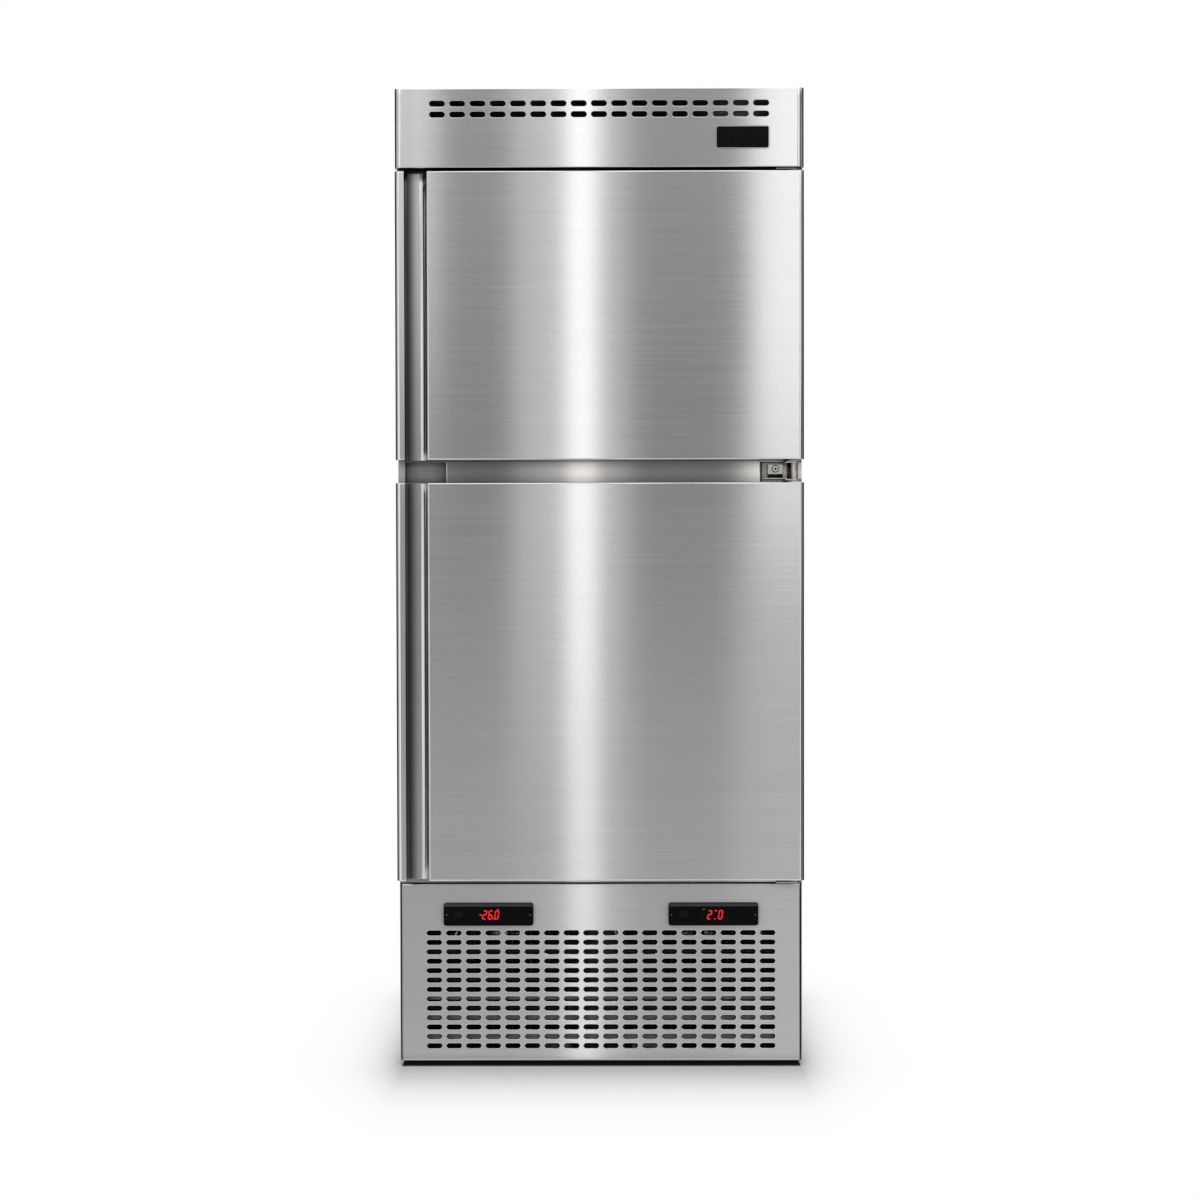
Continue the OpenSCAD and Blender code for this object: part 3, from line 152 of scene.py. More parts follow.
def mix_surfaces(tree, output, factor, first, second):
    """Mixes two shaders and sends them to the output node."""
    mixed = add_node(tree, "ShaderNodeMixShader",
                     {0: factor, 1: first.outputs[0], 2: second.outputs[0]})
    add_node(tree, output, {"Surface": mixed.outputs[0]})


def seen_by(tree, *kinds):
    """1 for rays of these kinds, and 0 for all others."""
    rays = add_node(tree, "ShaderNodeLightPath").outputs
    seen = rays[kinds[0]]
    for kind in kinds[1:]:
        seen = math_node(tree, "MAXIMUM", seen, rays[kind])
    return seen


print("a warm mid grey:", [round(v, 3) for v in grey(0.5, 0.05)])

# %% [markdown]
# ## Floor and white background
#
# The studio is white, and the floor only shows as a soft shadow round the base. The floor is a real pale
# surface, so it takes a real shadow, and a painted shadow is laid over it: right under the cabinet its
# colour is nearly black, and away from the cabinet it fades to plain white at rates fitted to the
# shadow, so the fade paints the shadow's shape. Other rays see it darker, so that it throws less light
# up into the base, and it doesn't show in the steel.

# %% Floor and world
def primitive(name, add, scale=None, **settings):
    """Adds a primitive with nothing else selected, and moves its size and place into its mesh."""
    bpy.ops.object.select_all(action="DESELECT")
    add(**settings)
    piece = bpy.context.active_object
    piece.name = piece.data.name = name
    if scale is not None:
        piece.scale = scale
    bpy.ops.object.transform_apply(location=True, rotation=True, scale=True)
    return piece


def plane(name, size, centre, turn=(0.0, 0.0, 0.0)):
    """A flat card of that size."""
    return primitive(name, bpy.ops.mesh.primitive_plane_add, (size[0], size[1], 1.0),
                     size=1.0, location=centre, rotation=turn)


floor_size = 40.0
painted_shadow_half = (0.41, 0.335, 0.0)  # half the width and half the depth of the dark place under the base
fall_off = (20.0, 4.7, 0.0)  # how fast the shadow fades to the sides and to the front
front_power, painted_shadow_rim = 1.5, 0.07
painted_shadow_under_base, open_floor, unseen_floor = grey(0.03), grey(0.66), grey(0.35)
soft_world, seen_world = 0.62, 1.0

floor = plane("studio_floor", (floor_size, floor_size), (0.0, 0.0, 0.0))
floor.visible_glossy = False
floor_paint = bpy.data.materials.new("pale_floor_with_painted_shadow")
floor.data.materials.append(floor_paint)
tree = cleared(floor_paint)
# Painted shadow: white is mixed in by the distance from the base, at one rate to the sides and another
# to the front.
outside = vector_math(tree, "SUBTRACT", vector_math(tree, "ABSOLUTE", object_point(tree)), painted_shadow_half)
outside = vector_math(tree, "MULTIPLY", vector_math(tree, "MAXIMUM", outside), fall_off)
distance = vector_math(tree, "LENGTH", outside, output="Value")
fall = axes_of(tree, outside)
fall = math_node(tree, "ADD", fall["X"], math_node(tree, "POWER", fall["Y"], front_power))
fade = math_node(tree, "SUBTRACT", 1.0, math_node(tree, "EXPONENT", times(tree, fall, -1.0)))
seen = seen_by(tree, "Is Camera Ray", "Is Transmission Ray")
# Painted shadow: the colour goes to nearly black right under the base.
near = blend_colour(tree, eased(tree, distance, 0.0, painted_shadow_rim), painted_shadow_under_base, open_floor)
pale = add_node(tree, "ShaderNodeBsdfPrincipled", {"Roughness": 0.7, "Specular IOR Level": 0.0})
tree.links.new(blend_colour(tree, seen, unseen_floor, near), pale.inputs["Base Color"])
white = add_node(tree, "ShaderNodeEmission", {"Color": grey(1.0), "Strength": 1.0})
mix_surfaces(tree, "ShaderNodeOutputMaterial", times(tree, fade, seen), pale, white)

world = bpy.data.worlds.new("studio")
bpy.context.scene.world = world
tree = cleared(world)
soft, white = (add_node(tree, "ShaderNodeBackground", {"Color": grey(1.0), "Strength": strength})
               for strength in (soft_world, seen_world))
seen = seen_by(tree, "Is Camera Ray", "Is Glossy Ray", "Is Transmission Ray")
mix_surfaces(tree, "ShaderNodeOutputWorld", seen, soft, white)
print("floor:", floor_size, "m square")

# %% [markdown]
# ## Light cards
#
# Brushed steel shows the studio as upright bands: a narrow bright one left of the middle with a softer
# one beside it, dark grey on both sides, and a broad bright one on the right that ends above the lower
# door. In a studio these are white and grey cards behind the camera. Each card here is a glowing plane
# with soft edges that the camera itself doesn't see. Where a card stands follows from the mirror rule:
# a point of the door shows what lies at the mirrored angle. So each card is given by the place on the
# door where it has to show.

# %% Light cards
card_y = -9.0
door_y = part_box("upper_door_skin")[0].y
stretch = (door_y - card_y) / (door_y - camera.location.y)
turn_on_door = (0.35, 1.35)  # between these heights a card goes from its low to its high strength
facing_cabinet = (math.radians(-90.0), 0.0, 0.0)


def mirrored(value, middle):
    """Where the card plane must be lit so that it shows at this place on the door."""
    return value + (value - middle) * stretch


def glow(card, high, low=None, turn=(0.0, 1.0), edge=(0.0, 0.0), along="Z"):
    """Lights a card: low before the turn, high beyond it, and clear towards its edges."""
    paint = bpy.data.materials.new(card.name)
    tree = cleared(paint)
    axes = axes_of(tree)
    strength = eased(tree, axes[along], turn[0], turn[1], high if low is None else low, high)
    lamp = add_node(tree, "ShaderNodeEmission", {"Color": grey(1.0), "Strength": strength})
    corners = [vertex.co for vertex in card.data.vertices]
    mask = 1.0
    for axis, width in ((0, edge[0]), (2, edge[1])):
        if width:
            first, last = min(c[axis] for c in corners), max(c[axis] for c in corners)
            mask = times(tree, mask, eased(tree, axes[axis], first, first + width))
            mask = times(tree, mask, eased(tree, axes[axis], last, last - width))
    clear = add_node(tree, "ShaderNodeBsdfTransparent")
    mix_surfaces(tree, "ShaderNodeOutputMaterial", mask, clear, lamp)
    card.data.materials.append(paint)
    card.visible_camera = False
    card.visible_shadow = False


def light_card(name, x_on_door, z_on_door, high, low=None, edge=(0.0, 0.0), setback=0.0):
    """A card behind the camera. Of two that overlap, the one with more setback is covered."""
    x = [mirrored(v, camera.location.x) for v in x_on_door]
    z = [mirrored(v, camera.location.z) for v in z_on_door]
    centre = ((x[0] + x[1]) / 2, card_y - setback, (z[0] + z[1]) / 2)
    card = plane(name, (x[1] - x[0], z[1] - z[0]), centre, facing_cabinet)
    turn_z = [mirrored(v, camera.location.z) for v in turn_on_door]
    glow(card, high, low, turn_z, [v * (1 + stretch) for v in edge])


all_wide, all_high = (-0.9, 1.1), (-0.4, 3.2)
light_card("dark_card", all_wide, all_high, 0.26, 0.46, setback=0.5)
light_card("high_card", all_wide, (1.35, 3.2), 0.36, None, (0.0, 0.4), setback=0.4)
light_card("soft_card", (-0.205, -0.045), all_high, 0.68, 0.50, (0.045, 0.0), setback=0.3)
light_card("fall_card", (-0.04, 0.085), all_high, 0.62, 0.55, (0.05, 0.0), setback=0.2)
light_card("bright_card", (-0.078, 0.004), all_high, 1.72, 1.16, (0.018, 0.0), setback=0.1)
light_card("right_card", (0.272, 0.7), (1.08, 3.2), 1.32, None, (0.075, 0.12))
light_card("low_right_card", (0.24, 0.7), (-0.4, 1.3), 0.48, 0.56, (0.06, 0.15), setback=0.1)
light_card("left_card", (-0.75, -0.305), (1.25, 3.2), 0.9, None, (0.05, 0.4), setback=0.1)
print("a card behind the camera shows on the door at 1 to", round(1 + stretch, 2))

# %% [markdown]
# The upright corners of the header and the doors turn away to the sides, so they show what stands
# there: a pale card on the left draws the light line along the lips, a card that darkens towards the
# cabinet the dark bend on the right, and dark cards beside the cabinet the dark outline on both
# sides. Two pale cards far out light the doors when they are seen from the side, and a pale card
# overhead lights the top edges.

# %% Cards beside and above the cabinet
def side_card(name, x, y, z, near, far, turn_y):
    """An upright card beside the cabinet, of one strength at its near end and another at its far end."""
    centre = (x, (y[0] + y[1]) / 2, (z[0] + z[1]) / 2)
    card = plane(name, (z[1] - z[0], y[1] - y[0]), centre, (0.0, math.radians(90.0), 0.0))
    glow(card, far, near, turn_y, along="Y")


side_card("front_card_left", -3.6, (-8.5, -0.9), (-2.0, 3.6), 1.2, 0.62, (-5.0, -1.8))
side_card("front_card_right", 3.6, (-8.5, -0.9), (1.35, 3.6), 1.2, 0.14, (-5.6, -2.0))
side_card("low_front_card", 3.62, (-8.0, -0.9), (-2.0, 1.5), 0.5, 0.14, (-7.0, -4.5))
for side, word in ((-1, "left"), (1, "right")):
    edge_card = plane("edge_card_" + word, (1.5, 5.6), (side * 2.95, -8.8, 0.8), facing_cabinet)
    glow(edge_card, 1.25)
    side_card("side_card_" + word, side * 2.4, (-0.45, 8.0), (-1.2, 3.6), 0.3, 0.14, (0.0, 1.2))
top_card = plane("top_card", (5.0, 4.5), (0.0, -3.4, 5.2))
glow(top_card, 1.35)

# %% [markdown]
# ## Soft light from above
#
# One large softbox hangs over and in front of the cabinet. It gives the painted, rubber and plastic
# parts their form, and the floor the soft shadow at the foot of the cabinet.

# %% Softbox
softbox = bpy.data.objects.new("softbox", bpy.data.lights.new("softbox", "AREA"))
bpy.context.scene.collection.objects.link(softbox)
softbox.data.shape = "RECTANGLE"
softbox.data.size = 3.2
softbox.data.size_y = 2.4
softbox.data.energy = 18.0
softbox.location = (0.3, -1.9, 3.7)
softbox.rotation_euler = (math.radians(24.0), 0.0, 0.0)
print("softbox:", round(softbox.data.size, 2), "by", round(softbox.data.size_y, 2), "m")

# %% [markdown]
# ## Effects that several finishes share
#
# Grain, handling marks, dust, the slight waves of sheet metal and a moulded surface turn up on many
# parts. Each is a node group, built once and placed with its own values in every material that needs
# it. A group only gives masks and heights, and the material decides what they do.

# %% Group helpers
def shader_group(name, inputs, outputs):
    """An empty node group with number inputs and number outputs, and its two end nodes."""
    made = bpy.data.node_groups.new(name, "ShaderNodeTree")
    for label, start in inputs.items():
        socket = made.interface.new_socket(label, in_out="INPUT", socket_type="NodeSocketFloat")
        socket.default_value = start
    for label in outputs:
        made.interface.new_socket(label, in_out="OUTPUT", socket_type="NodeSocketFloat")
    return made, made.nodes.new("NodeGroupInput").outputs, made.nodes.new("NodeGroupOutput").inputs


def noise(tree, point, scale, detail=2.0, roughness=0.5):
    sockets = {"Vector": point, "Scale": scale, "Detail": detail, "Roughness": roughness}
    return add_node(tree, "ShaderNodeTexNoise", sockets).outputs["Fac"]


def stretched(tree, point, x, y, z):
    """The point with each of its axes multiplied."""
    axes = add_node(tree, "ShaderNodeCombineXYZ", {0: x, 1: y, 2: z}).outputs[0]
    return vector_math(tree, "MULTIPLY", point, axes)


def facing(tree):
    """The way the surface looks, out in the room."""
    return add_node(tree, "ShaderNodeNewGeometry").outputs["Normal"]

# %% [markdown]
# Brushing leaves thousands of fine level scratches. On the real sheet they are a tenth of a millimetre
# high and some centimetres long. Noise that is squeezed in height and drawn out in length gives them,
# in two sizes: the fine scratches, and soft streaks where the belt pressed harder. Thin sheet also
# waves a little over its width, and hands leave duller clouds on it.

# %% Grain, waves and handling marks
grain, given, result = shader_group("brushed_grain", {"Fineness": 900.0, "Length": 4.0},
                                    ["Grain", "Streak"])
point = object_point(grain)
fine = stretched(grain, point, given["Length"], given["Length"], given["Fineness"])
grain.links.new(noise(grain, fine, 1.0, 3.0, 0.65), result["Grain"])
broad = times(grain, given["Fineness"], 0.08)
slow = times(grain, given["Length"], 0.35)
streak = noise(grain, stretched(grain, point, slow, slow, broad), 1.0, 2.0, 0.5)
grain.links.new(spread(grain, streak, 0.35, 0.65), result["Streak"])

waves, given, result = shader_group("sheet_waves", {"Scale": 3.0}, ["Height"])
waves.links.new(noise(waves, object_point(waves), given["Scale"], 1.0, 0.4), result["Height"])

marks, given, result = shader_group("handling_marks", {"Scale": 6.0, "Amount": 0.5}, ["Mark"])
cloud = noise(marks, object_point(marks), given["Scale"], 4.0, 0.6)
marks.links.new(times(marks, spread(marks, cloud, 0.45, 0.75), given["Amount"]), result["Mark"])
print("groups:", [group.name for group in bpy.data.node_groups])

# %% [markdown]
# Gaps and channels get painted shade: the steel's colour is darkened where a point is closed in. The
# Ambient Occlusion node measures how far a point lies open to the outside.

# %% Painted shade in gaps and channels
painted_gap_shade, given, result = shader_group("painted_gap_shade_group", {"Distance": 0.03, "Darkest": 0.2}, ["Open"])
openness = add_node(painted_gap_shade, "ShaderNodeAmbientOcclusion", {"Distance": given["Distance"]},
                    samples=8).outputs["AO"]
painted_gap_shade.links.new(spread(painted_gap_shade, openness, 0.25, 0.95, given["Darkest"], 1.0), result["Open"])
print("groups:", [group.name for group in bpy.data.node_groups])

# %% [markdown]
# Dust settles on faces that look up, and thins out on upright ones. The world's up direction is read
# from the surface normal, and noise breaks the layer up. A moulded part has the fine skin of its
# mould and an uneven tone. Edges are rubbed bright: the Bevel node gives the normal that a rounded
# edge would have, and where it differs from the real one, there is an edge.

# %% Dust, moulded skin and worn edges
dust, given, result = shader_group("settled_dust", {"Amount": 0.5, "Scale": 30.0}, ["Dust"])
upward = axes_of(dust, facing(dust))["Z"]
flat = spread(dust, upward, -0.2, 1.0, 0.15, 1.0)
patchy = spread(dust, noise(dust, object_point(dust), given["Scale"], 5.0, 0.7), 0.35, 0.65, 0.4, 1.0)
layer = times(dust, flat, patchy)
dust.links.new(math_node(dust, "MULTIPLY", layer, given["Amount"], clamp=True), result["Dust"])

moulded, given, result = shader_group("moulded_skin", {"Scale": 900.0}, ["Height", "Tone"])
point = object_point(moulded)
moulded.links.new(noise(moulded, point, given["Scale"], 2.0, 0.6), result["Height"])
moulded.links.new(noise(moulded, point, 14.0, 3.0, 0.5), result["Tone"])

worn, given, result = shader_group("worn_edges", {"Radius": 0.0015, "Amount": 1.0}, ["Wear"])
rounded = add_node(worn, "ShaderNodeBevel", {"Radius": given["Radius"]}, samples=4).outputs[0]
alike = vector_math(worn, "DOT_PRODUCT", rounded, facing(worn), output="Value")
broken = spread(worn, noise(worn, object_point(worn), 60.0, 4.0, 0.7), 0.42, 0.6)
edge = times(worn, spread(worn, alike, 0.998, 0.93), broken)
worn.links.new(math_node(worn, "MULTIPLY", edge, given["Amount"], clamp=True), result["Wear"])
print("groups:", [group.name for group in bpy.data.node_groups])

# %% [markdown]
# ## Steel finishes
#
# All steel sheets share one recipe: a bright metal whose reflection is drawn out across the grain
# (the anisotropy), with a roughness that follows the scratches, streaks and finger marks, and with the
# slight waves of thin sheet in its normal. The outer sheets are brushed, and the inner ones are duller.
# Gaps and channels get painted shade, and on some sheets a small function paints shade or light into the
# colour by place.

# %% Material helpers
def finish(name, **fixed):
    """A new material with a Principled shader whose plain numbers are set on its own sockets."""
    made = bpy.data.materials.new(name)
    tree = cleared(made)
    sockets = {label.replace("_", " "): value for label, value in fixed.items()}
    shader = add_node(tree, "ShaderNodeBsdfPrincipled", sockets)
    add_node(tree, "ShaderNodeOutputMaterial", {"Surface": shader.outputs[0]})
    return made, tree, shader.inputs


def use(tree, group, **values):
    """Places a group with its own values."""
    placed = tree.nodes.new("ShaderNodeGroup")
    placed.node_tree = group
    for label, value in values.items():
        placed.inputs[label].default_value = value
    return placed.outputs


def bump(tree, height, strength, distance, normal=None):
    sockets = {"Height": height, "Strength": strength, "Distance": distance}
    if normal is not None:
        sockets["Normal"] = normal
    return add_node(tree, "ShaderNodeBump", sockets).outputs["Normal"]

# %% [markdown]
# Three places need such a function, and each paints shade or light into the colour. The outer part of
# the upright bends gets a painted dark line. The floor of the finger channel gets painted shade towards
# the lip that hangs over it. The rail between the doors gets painted shade left of the middle and a
# painted highlight near the hinge.

# %% Painted shade and light on the steel
bend_start, bend_end, bend_least = 0.0058, 0.0018, 0.04  # the first two inwards from the outer line
channel_x, channel_y, channel_soft = (-0.400, -0.350), (-0.3985, -0.392), 0.002
lip_x, lip_least = (-0.394, -0.362), 0.1  # the shade of the lip fades between these places
middle_rail_steps = ((-0.33, -0.25, 0.8), (-0.16, -0.09, 1.25), (0.235, 0.31, 1.42))


def painted_dark_bends(tree, outer_x, back_y):
    """Paints a dark line: darkens the outer part of the upright bends, between their front and the line
    where they end.
    """
    axes = axes_of(tree)
    away = math_node(tree, "ABSOLUTE", axes["X"])
    outer = spread(tree, away, outer_x - bend_start, outer_x - bend_end)
    front = spread(tree, axes["Y"], back_y - 0.0005, back_y - 0.0045)
    return spread(tree, times(tree, outer, front), 0.0, 1.0, 1.0, bend_least)


def door_painted_dark_bends(tree):
    return painted_dark_bends(tree, 0.415, -0.384)


def base_painted_dark_bends(tree):
    return painted_dark_bends(tree, 0.4135, -0.3305)


def lip_shade(tree):
    """Painted shade: darkens the floor of the finger channel towards the lip that hangs over it."""
    axes = axes_of(tree)
    left, right = channel_x
    across = times(tree, spread(tree, axes["X"], right + channel_soft, right - channel_soft),
                   spread(tree, axes["X"], left - channel_soft, left + channel_soft))
    inside = times(tree, spread(tree, axes["Y"], *channel_y), across)
    along = eased(tree, axes["X"], *lip_x, lip_least, 1.0)
    dimming = math_node(tree, "SUBTRACT", 1.0, along)
    return math_node(tree, "SUBTRACT", 1.0, times(tree, inside, dimming))


def rail_painted_shade_and_light(tree):
    """Painted shade and highlight: changes the rail's brightness in soft steps, each from one x to
    another and by a factor.
    """
    x, bright = axes_of(tree)["X"], 1.0
    for start, end, change in middle_rail_steps:
        bright = times(tree, bright, eased(tree, x, start, end, 1.0, change))
    return bright


print("the rail between the doors gets", len(middle_rail_steps), "soft steps")

# %% [markdown]
# The brightness of a sheet is a product: the fine grain, the streaks, the painted shade of closed-in
# places, and the painted shade and light of the functions above. The tone of the metal is then scaled by
# it. The grain changes it by a few hundredths only, since most of what the eye reads as grain is the
# change in roughness and in the normal.

# %% Brushed sheets
grain_light, streak_light = (0.97, 1.02), (0.99, 1.01)
finger_rough, grain_deep = 0.03, 0.00003


def sheet_steel(name, tone, rough, drawn_out, warmth=0.0, fineness=900.0, wave=0.25, marked=0.5,
                darkest=0.2, painted_shading=()):
    made, tree, shader = finish(name, Metallic=1.0, Anisotropic=drawn_out, Anisotropic_Rotation=0.25)
    scratch = use(tree, grain, Fineness=fineness)
    finger = use(tree, marks, Amount=marked)["Mark"]
    bright = spread(tree, scratch["Grain"], 0.3, 0.7, *grain_light)
    bright = times(tree, bright, spread(tree, scratch["Streak"], 0.0, 1.0, *streak_light))
    # Painted shade: the colour is darkened in gaps and channels.
    bright = times(tree, bright, use(tree, painted_gap_shade, Darkest=darkest)["Open"])
    # The functions passed in paint shade and light into the colour by place.
    for shade in painted_shading:
        bright = times(tree, bright, shade(tree))
    colour = add_node(tree, "ShaderNodeVectorMath", {0: grey(tone, warmth)[:3], "Scale": bright},
                      operation="SCALE").outputs[0]
    texture = spread(tree, scratch["Grain"], 0.3, 0.7, rough - 0.01, rough + 0.02)
    texture = math_node(tree, "ADD", texture, times(tree, finger, finger_rough))
    tree.links.new(colour, shader["Base Color"])
    tree.links.new(texture, shader["Roughness"])
    bent = bump(tree, use(tree, waves, Scale=2.6)["Height"], wave, 0.004)
    tree.links.new(bump(tree, scratch["Grain"], 0.12, grain_deep, bent), shader["Normal"])
    return made


front_steel = sheet_steel("brushed_front_steel", 0.69, 0.12, 1.0, wave=0.04, marked=0.25,
                          darkest=0.1, painted_shading=(door_painted_dark_bends, lip_shade))
base_steel = sheet_steel("brushed_base_steel", 0.69, 0.12, 1.0, wave=0.04, marked=0.25,
                         darkest=0.25, painted_shading=(base_painted_dark_bends,))
rail_steel = sheet_steel("brushed_rail_steel", 0.54, 0.09, 1.0, warmth=0.03, wave=0.03,
                         darkest=0.03, painted_shading=(rail_painted_shade_and_light,))
case_steel = sheet_steel("brushed_case_steel", 0.64, 0.2, 0.9, wave=0.06)
inner_steel = sheet_steel("dull_inner_steel", 0.62, 0.33, 0.5, fineness=600.0, wave=0.15)
print("nodes in the front steel:", len(front_steel.node_tree.nodes))

# %% [markdown]
# Galvanised sheet, used where nobody looks, shows the crystals of its zinc: flat many-sided patches of
# slightly different greys. Voronoi cells give the patches, and each patch gets its own roughness.

# %% Galvanised sheet
def galvanised(name, tone, dusty):
    made, tree, shader = finish(name, Metallic=1.0)
    crystals = {"Vector": object_point(tree), "Scale": 90.0, "Randomness": 1.0}
    cells = add_node(tree, "ShaderNodeTexVoronoi", crystals).outputs["Color"]
    patch = add_node(tree, "ShaderNodeSeparateColor", {0: cells}).outputs[0]
    zinc = blend_colour(tree, patch, grey(tone * 0.9), grey(tone * 1.07))
    layer = use(tree, dust, Amount=dusty)["Dust"]
    tree.links.new(blend_colour(tree, layer, zinc, grey(tone * 0.68, 0.08)), shader["Base Color"])
    texture = math_node(tree, "ADD", spread(tree, patch, 0.0, 1.0, 0.32, 0.5), times(tree, layer, 0.3))
    tree.links.new(texture, shader["Roughness"])
    tree.links.new(spread(tree, layer, 0.0, 1.0, 1.0, 0.3), shader["Metallic"])
    tree.links.new(bump(tree, use(tree, waves, Scale=9.0)["Height"], 0.2, 0.003), shader["Normal"])
    return made


galvanised_steel = galvanised("galvanised_sheet", 0.5, 0.35)
# Painted shade: the pan is darkened far below the tone of zinc, so that the machine space behind the
# base slots looks dark.
shade_dark_zinc = galvanised("shade_darkened_galvanised_pan", 0.12, 0.2)
rail_zinc = galvanised("galvanised_rail", 0.2, 0.1)
print("galvanised:", galvanised_steel.name, shade_dark_zinc.name, rail_zinc.name)

# %% [markdown]
# The hinges are plated steel, worked by a press and rubbed bright where metal runs on metal. The wire of
# the shelves is polished and then plated, so it is smooth with tiny ripples. The same recipe serves the
# copper pipes and the fins, which only differ in colour, roughness and how much dust they gather.

# %% Plated steel, wire, copper and fins
def plated(name, colour, rough, dusty=0.0, edge=0.6, gap_shade=False, marked=0.6):
    made, tree, shader = finish(name, Metallic=1.0)
    handled = tuple(c * 0.82 for c in colour[:3]) + (1.0,)
    tone = blend_colour(tree, use(tree, marks, Scale=40.0, Amount=marked)["Mark"], colour, handled)
    tone = blend_colour(tree, use(tree, worn, Amount=edge)["Wear"], tone, grey(0.78))
    # Painted shade: the hinge colour is darkened towards black in gaps and corners.
    if gap_shade:
        gap_openness = use(tree, painted_gap_shade, Darkest=0.3, Distance=0.02)["Open"]
        tone = blend_colour(tree, gap_openness, grey(0.02), tone)
    ripple = noise(tree, object_point(tree), 220.0, 3.0)
    texture = spread(tree, ripple, 0.3, 0.7, rough - 0.05, rough + 0.08)
    if dusty:
        layer = use(tree, dust, Amount=dusty)["Dust"]
        tone = blend_colour(tree, layer, tone, grey(0.3, 0.08))
        texture = math_node(tree, "ADD", texture, times(tree, layer, 0.35))
        tree.links.new(spread(tree, layer, 0.0, 1.0, 1.0, 0.3), shader["Metallic"])
    tree.links.new(tone, shader["Base Color"])
    tree.links.new(texture, shader["Roughness"])
    fine = noise(tree, object_point(tree), 400.0, 2.0)
    tree.links.new(bump(tree, fine, 0.15, 0.0001), shader["Normal"])
    return made


hinge_steel = plated("plated_hinge_steel", grey(0.5, 0.05), 0.17, edge=0.3, gap_shade=True, marked=0.2)
screw_steel = plated("bright_screw_steel", grey(0.62), 0.24)
wire_steel = plated("plated_shelf_wire", grey(0.72), 0.2, edge=0.0)
copper = plated("drawn_copper_pipe", (0.72, 0.36, 0.22, 1.0), 0.33, dusty=0.25, edge=0.0)
fin_aluminium = plated("thin_aluminium_fins", grey(0.62, -0.01), 0.36, dusty=0.45, edge=0.0)
dark_fins = plated("black_coated_fins", grey(0.03), 0.4, dusty=0.2, edge=0.0)
motor_metal = plated("cast_motor_case", grey(0.3), 0.5, dusty=0.3)
print("finishes so far:", len(bpy.data.materials))

# %% [markdown]
# ## Plastics, rubber, foam and paint
#
# These reflect little, so their small differences count: the fine texture of the mould, a slightly
# uneven tone, dust on what lies in the air stream, and a soft sheen on rubber. Each has its own
# roughness, because a glossy controller and a matt seal look quite different beside each other.

# %% Moulded finishes
def moulded_finish(name, colour, rough, skin=700.0, depth=0.12, dusty=0.0, edge=0.0, **fixed):
    made, tree, shader = finish(name, **fixed)
    surface = use(tree, moulded, Scale=skin)
    darker = tuple(c * 0.8 for c in colour[:3]) + (1.0,)
    rubbed = tuple(min(1.0, c * 1.8 + 0.03) for c in colour[:3]) + (1.0,)
    tone = blend_colour(tree, spread(tree, surface["Tone"], 0.35, 0.65), darker, colour)
    texture = spread(tree, surface["Tone"], 0.3, 0.7, rough - 0.04, rough + 0.05)
    if edge:
        tone = blend_colour(tree, use(tree, worn, Amount=edge)["Wear"], tone, rubbed)
    if dusty:
        layer = use(tree, dust, Amount=dusty)["Dust"]
        tone = blend_colour(tree, layer, tone, grey(0.36, 0.08))
        texture = math_node(tree, "ADD", texture, times(tree, layer, 0.3), clamp=True)
    tree.links.new(tone, shader["Base Color"])
    tree.links.new(texture, shader["Roughness"])
    tree.links.new(bump(tree, surface["Height"], depth, 0.0002), shader["Normal"])
    return made


seal_rubber = moulded_finish("magnetic_seal_rubber", grey(0.055), 0.55,
                             Sheen_Weight=0.15, Sheen_Roughness=0.5)
black_rubber = moulded_finish("black_mount_rubber", grey(0.022), 0.62, dusty=0.3)
grey_plastic = moulded_finish("grey_frame_plastic", grey(0.22), 0.42, edge=0.4)
black_plastic = moulded_finish("black_controller_plastic", grey(0.003), 0.25, skin=1500.0, depth=0.03,
                               Specular_IOR_Level=0.07)
lip_plastic = moulded_finish("grey_controller_lip", grey(0.05), 0.3, skin=1500.0, depth=0.03)
fan_plastic = moulded_finish("black_fan_plastic", grey(0.03), 0.4, dusty=0.35, edge=0.3)
white_plastic = moulded_finish("white_bush_plastic", grey(0.62, 0.03), 0.35, edge=0.2)
black_paint = moulded_finish("black_compressor_paint", grey(0.018), 0.28, skin=300.0, depth=0.2,
                             dusty=0.3, edge=0.5, Coat_Weight=0.4, Coat_Roughness=0.2)
box_paint = moulded_finish("grey_box_paint", grey(0.11), 0.4, skin=260.0, depth=0.1, dusty=0.2, edge=0.4)
dark_paint = moulded_finish("black_shroud_paint", grey(0.015), 0.45, skin=300.0, depth=0.2, dusty=0.1)
foam = moulded_finish("cream_body_foam", (0.78, 0.66, 0.38, 1.0), 0.8, skin=160.0, depth=0.5)
print("finishes so far:", len(bpy.data.materials))

# %% [markdown]
# The display lies behind a smoked window. It is nearly black, very smooth, and slightly clearer than
# the housing round it, so the lit digits seem to float in it.

# %% Display window
window, tree, shader = finish("smoked_display_window", Specular_IOR_Level=0.08, Coat_Weight=0.02,
                               Coat_Roughness=0.04)
tint = spread(tree, noise(tree, object_point(tree), 30.0, 2.0), 0.3, 0.7)
smoke = blend_colour(tree, tint, (0.004, 0.003, 0.003, 1.0), (0.006, 0.004, 0.004, 1.0))
tree.links.new(smoke, shader["Base Color"])
tree.links.new(spread(tree, tint, 0.0, 1.0, 0.08, 0.12), shader["Roughness"])
print("window finish:", window.name)

# %% [markdown]
# ## Which solid gets which finish
#
# A finish is named for the part it is made for, so the list reads like the workshop's: stainless sheet
# outside and inside, zinc where nobody looks, and plastic, rubber or paint on the machinery.

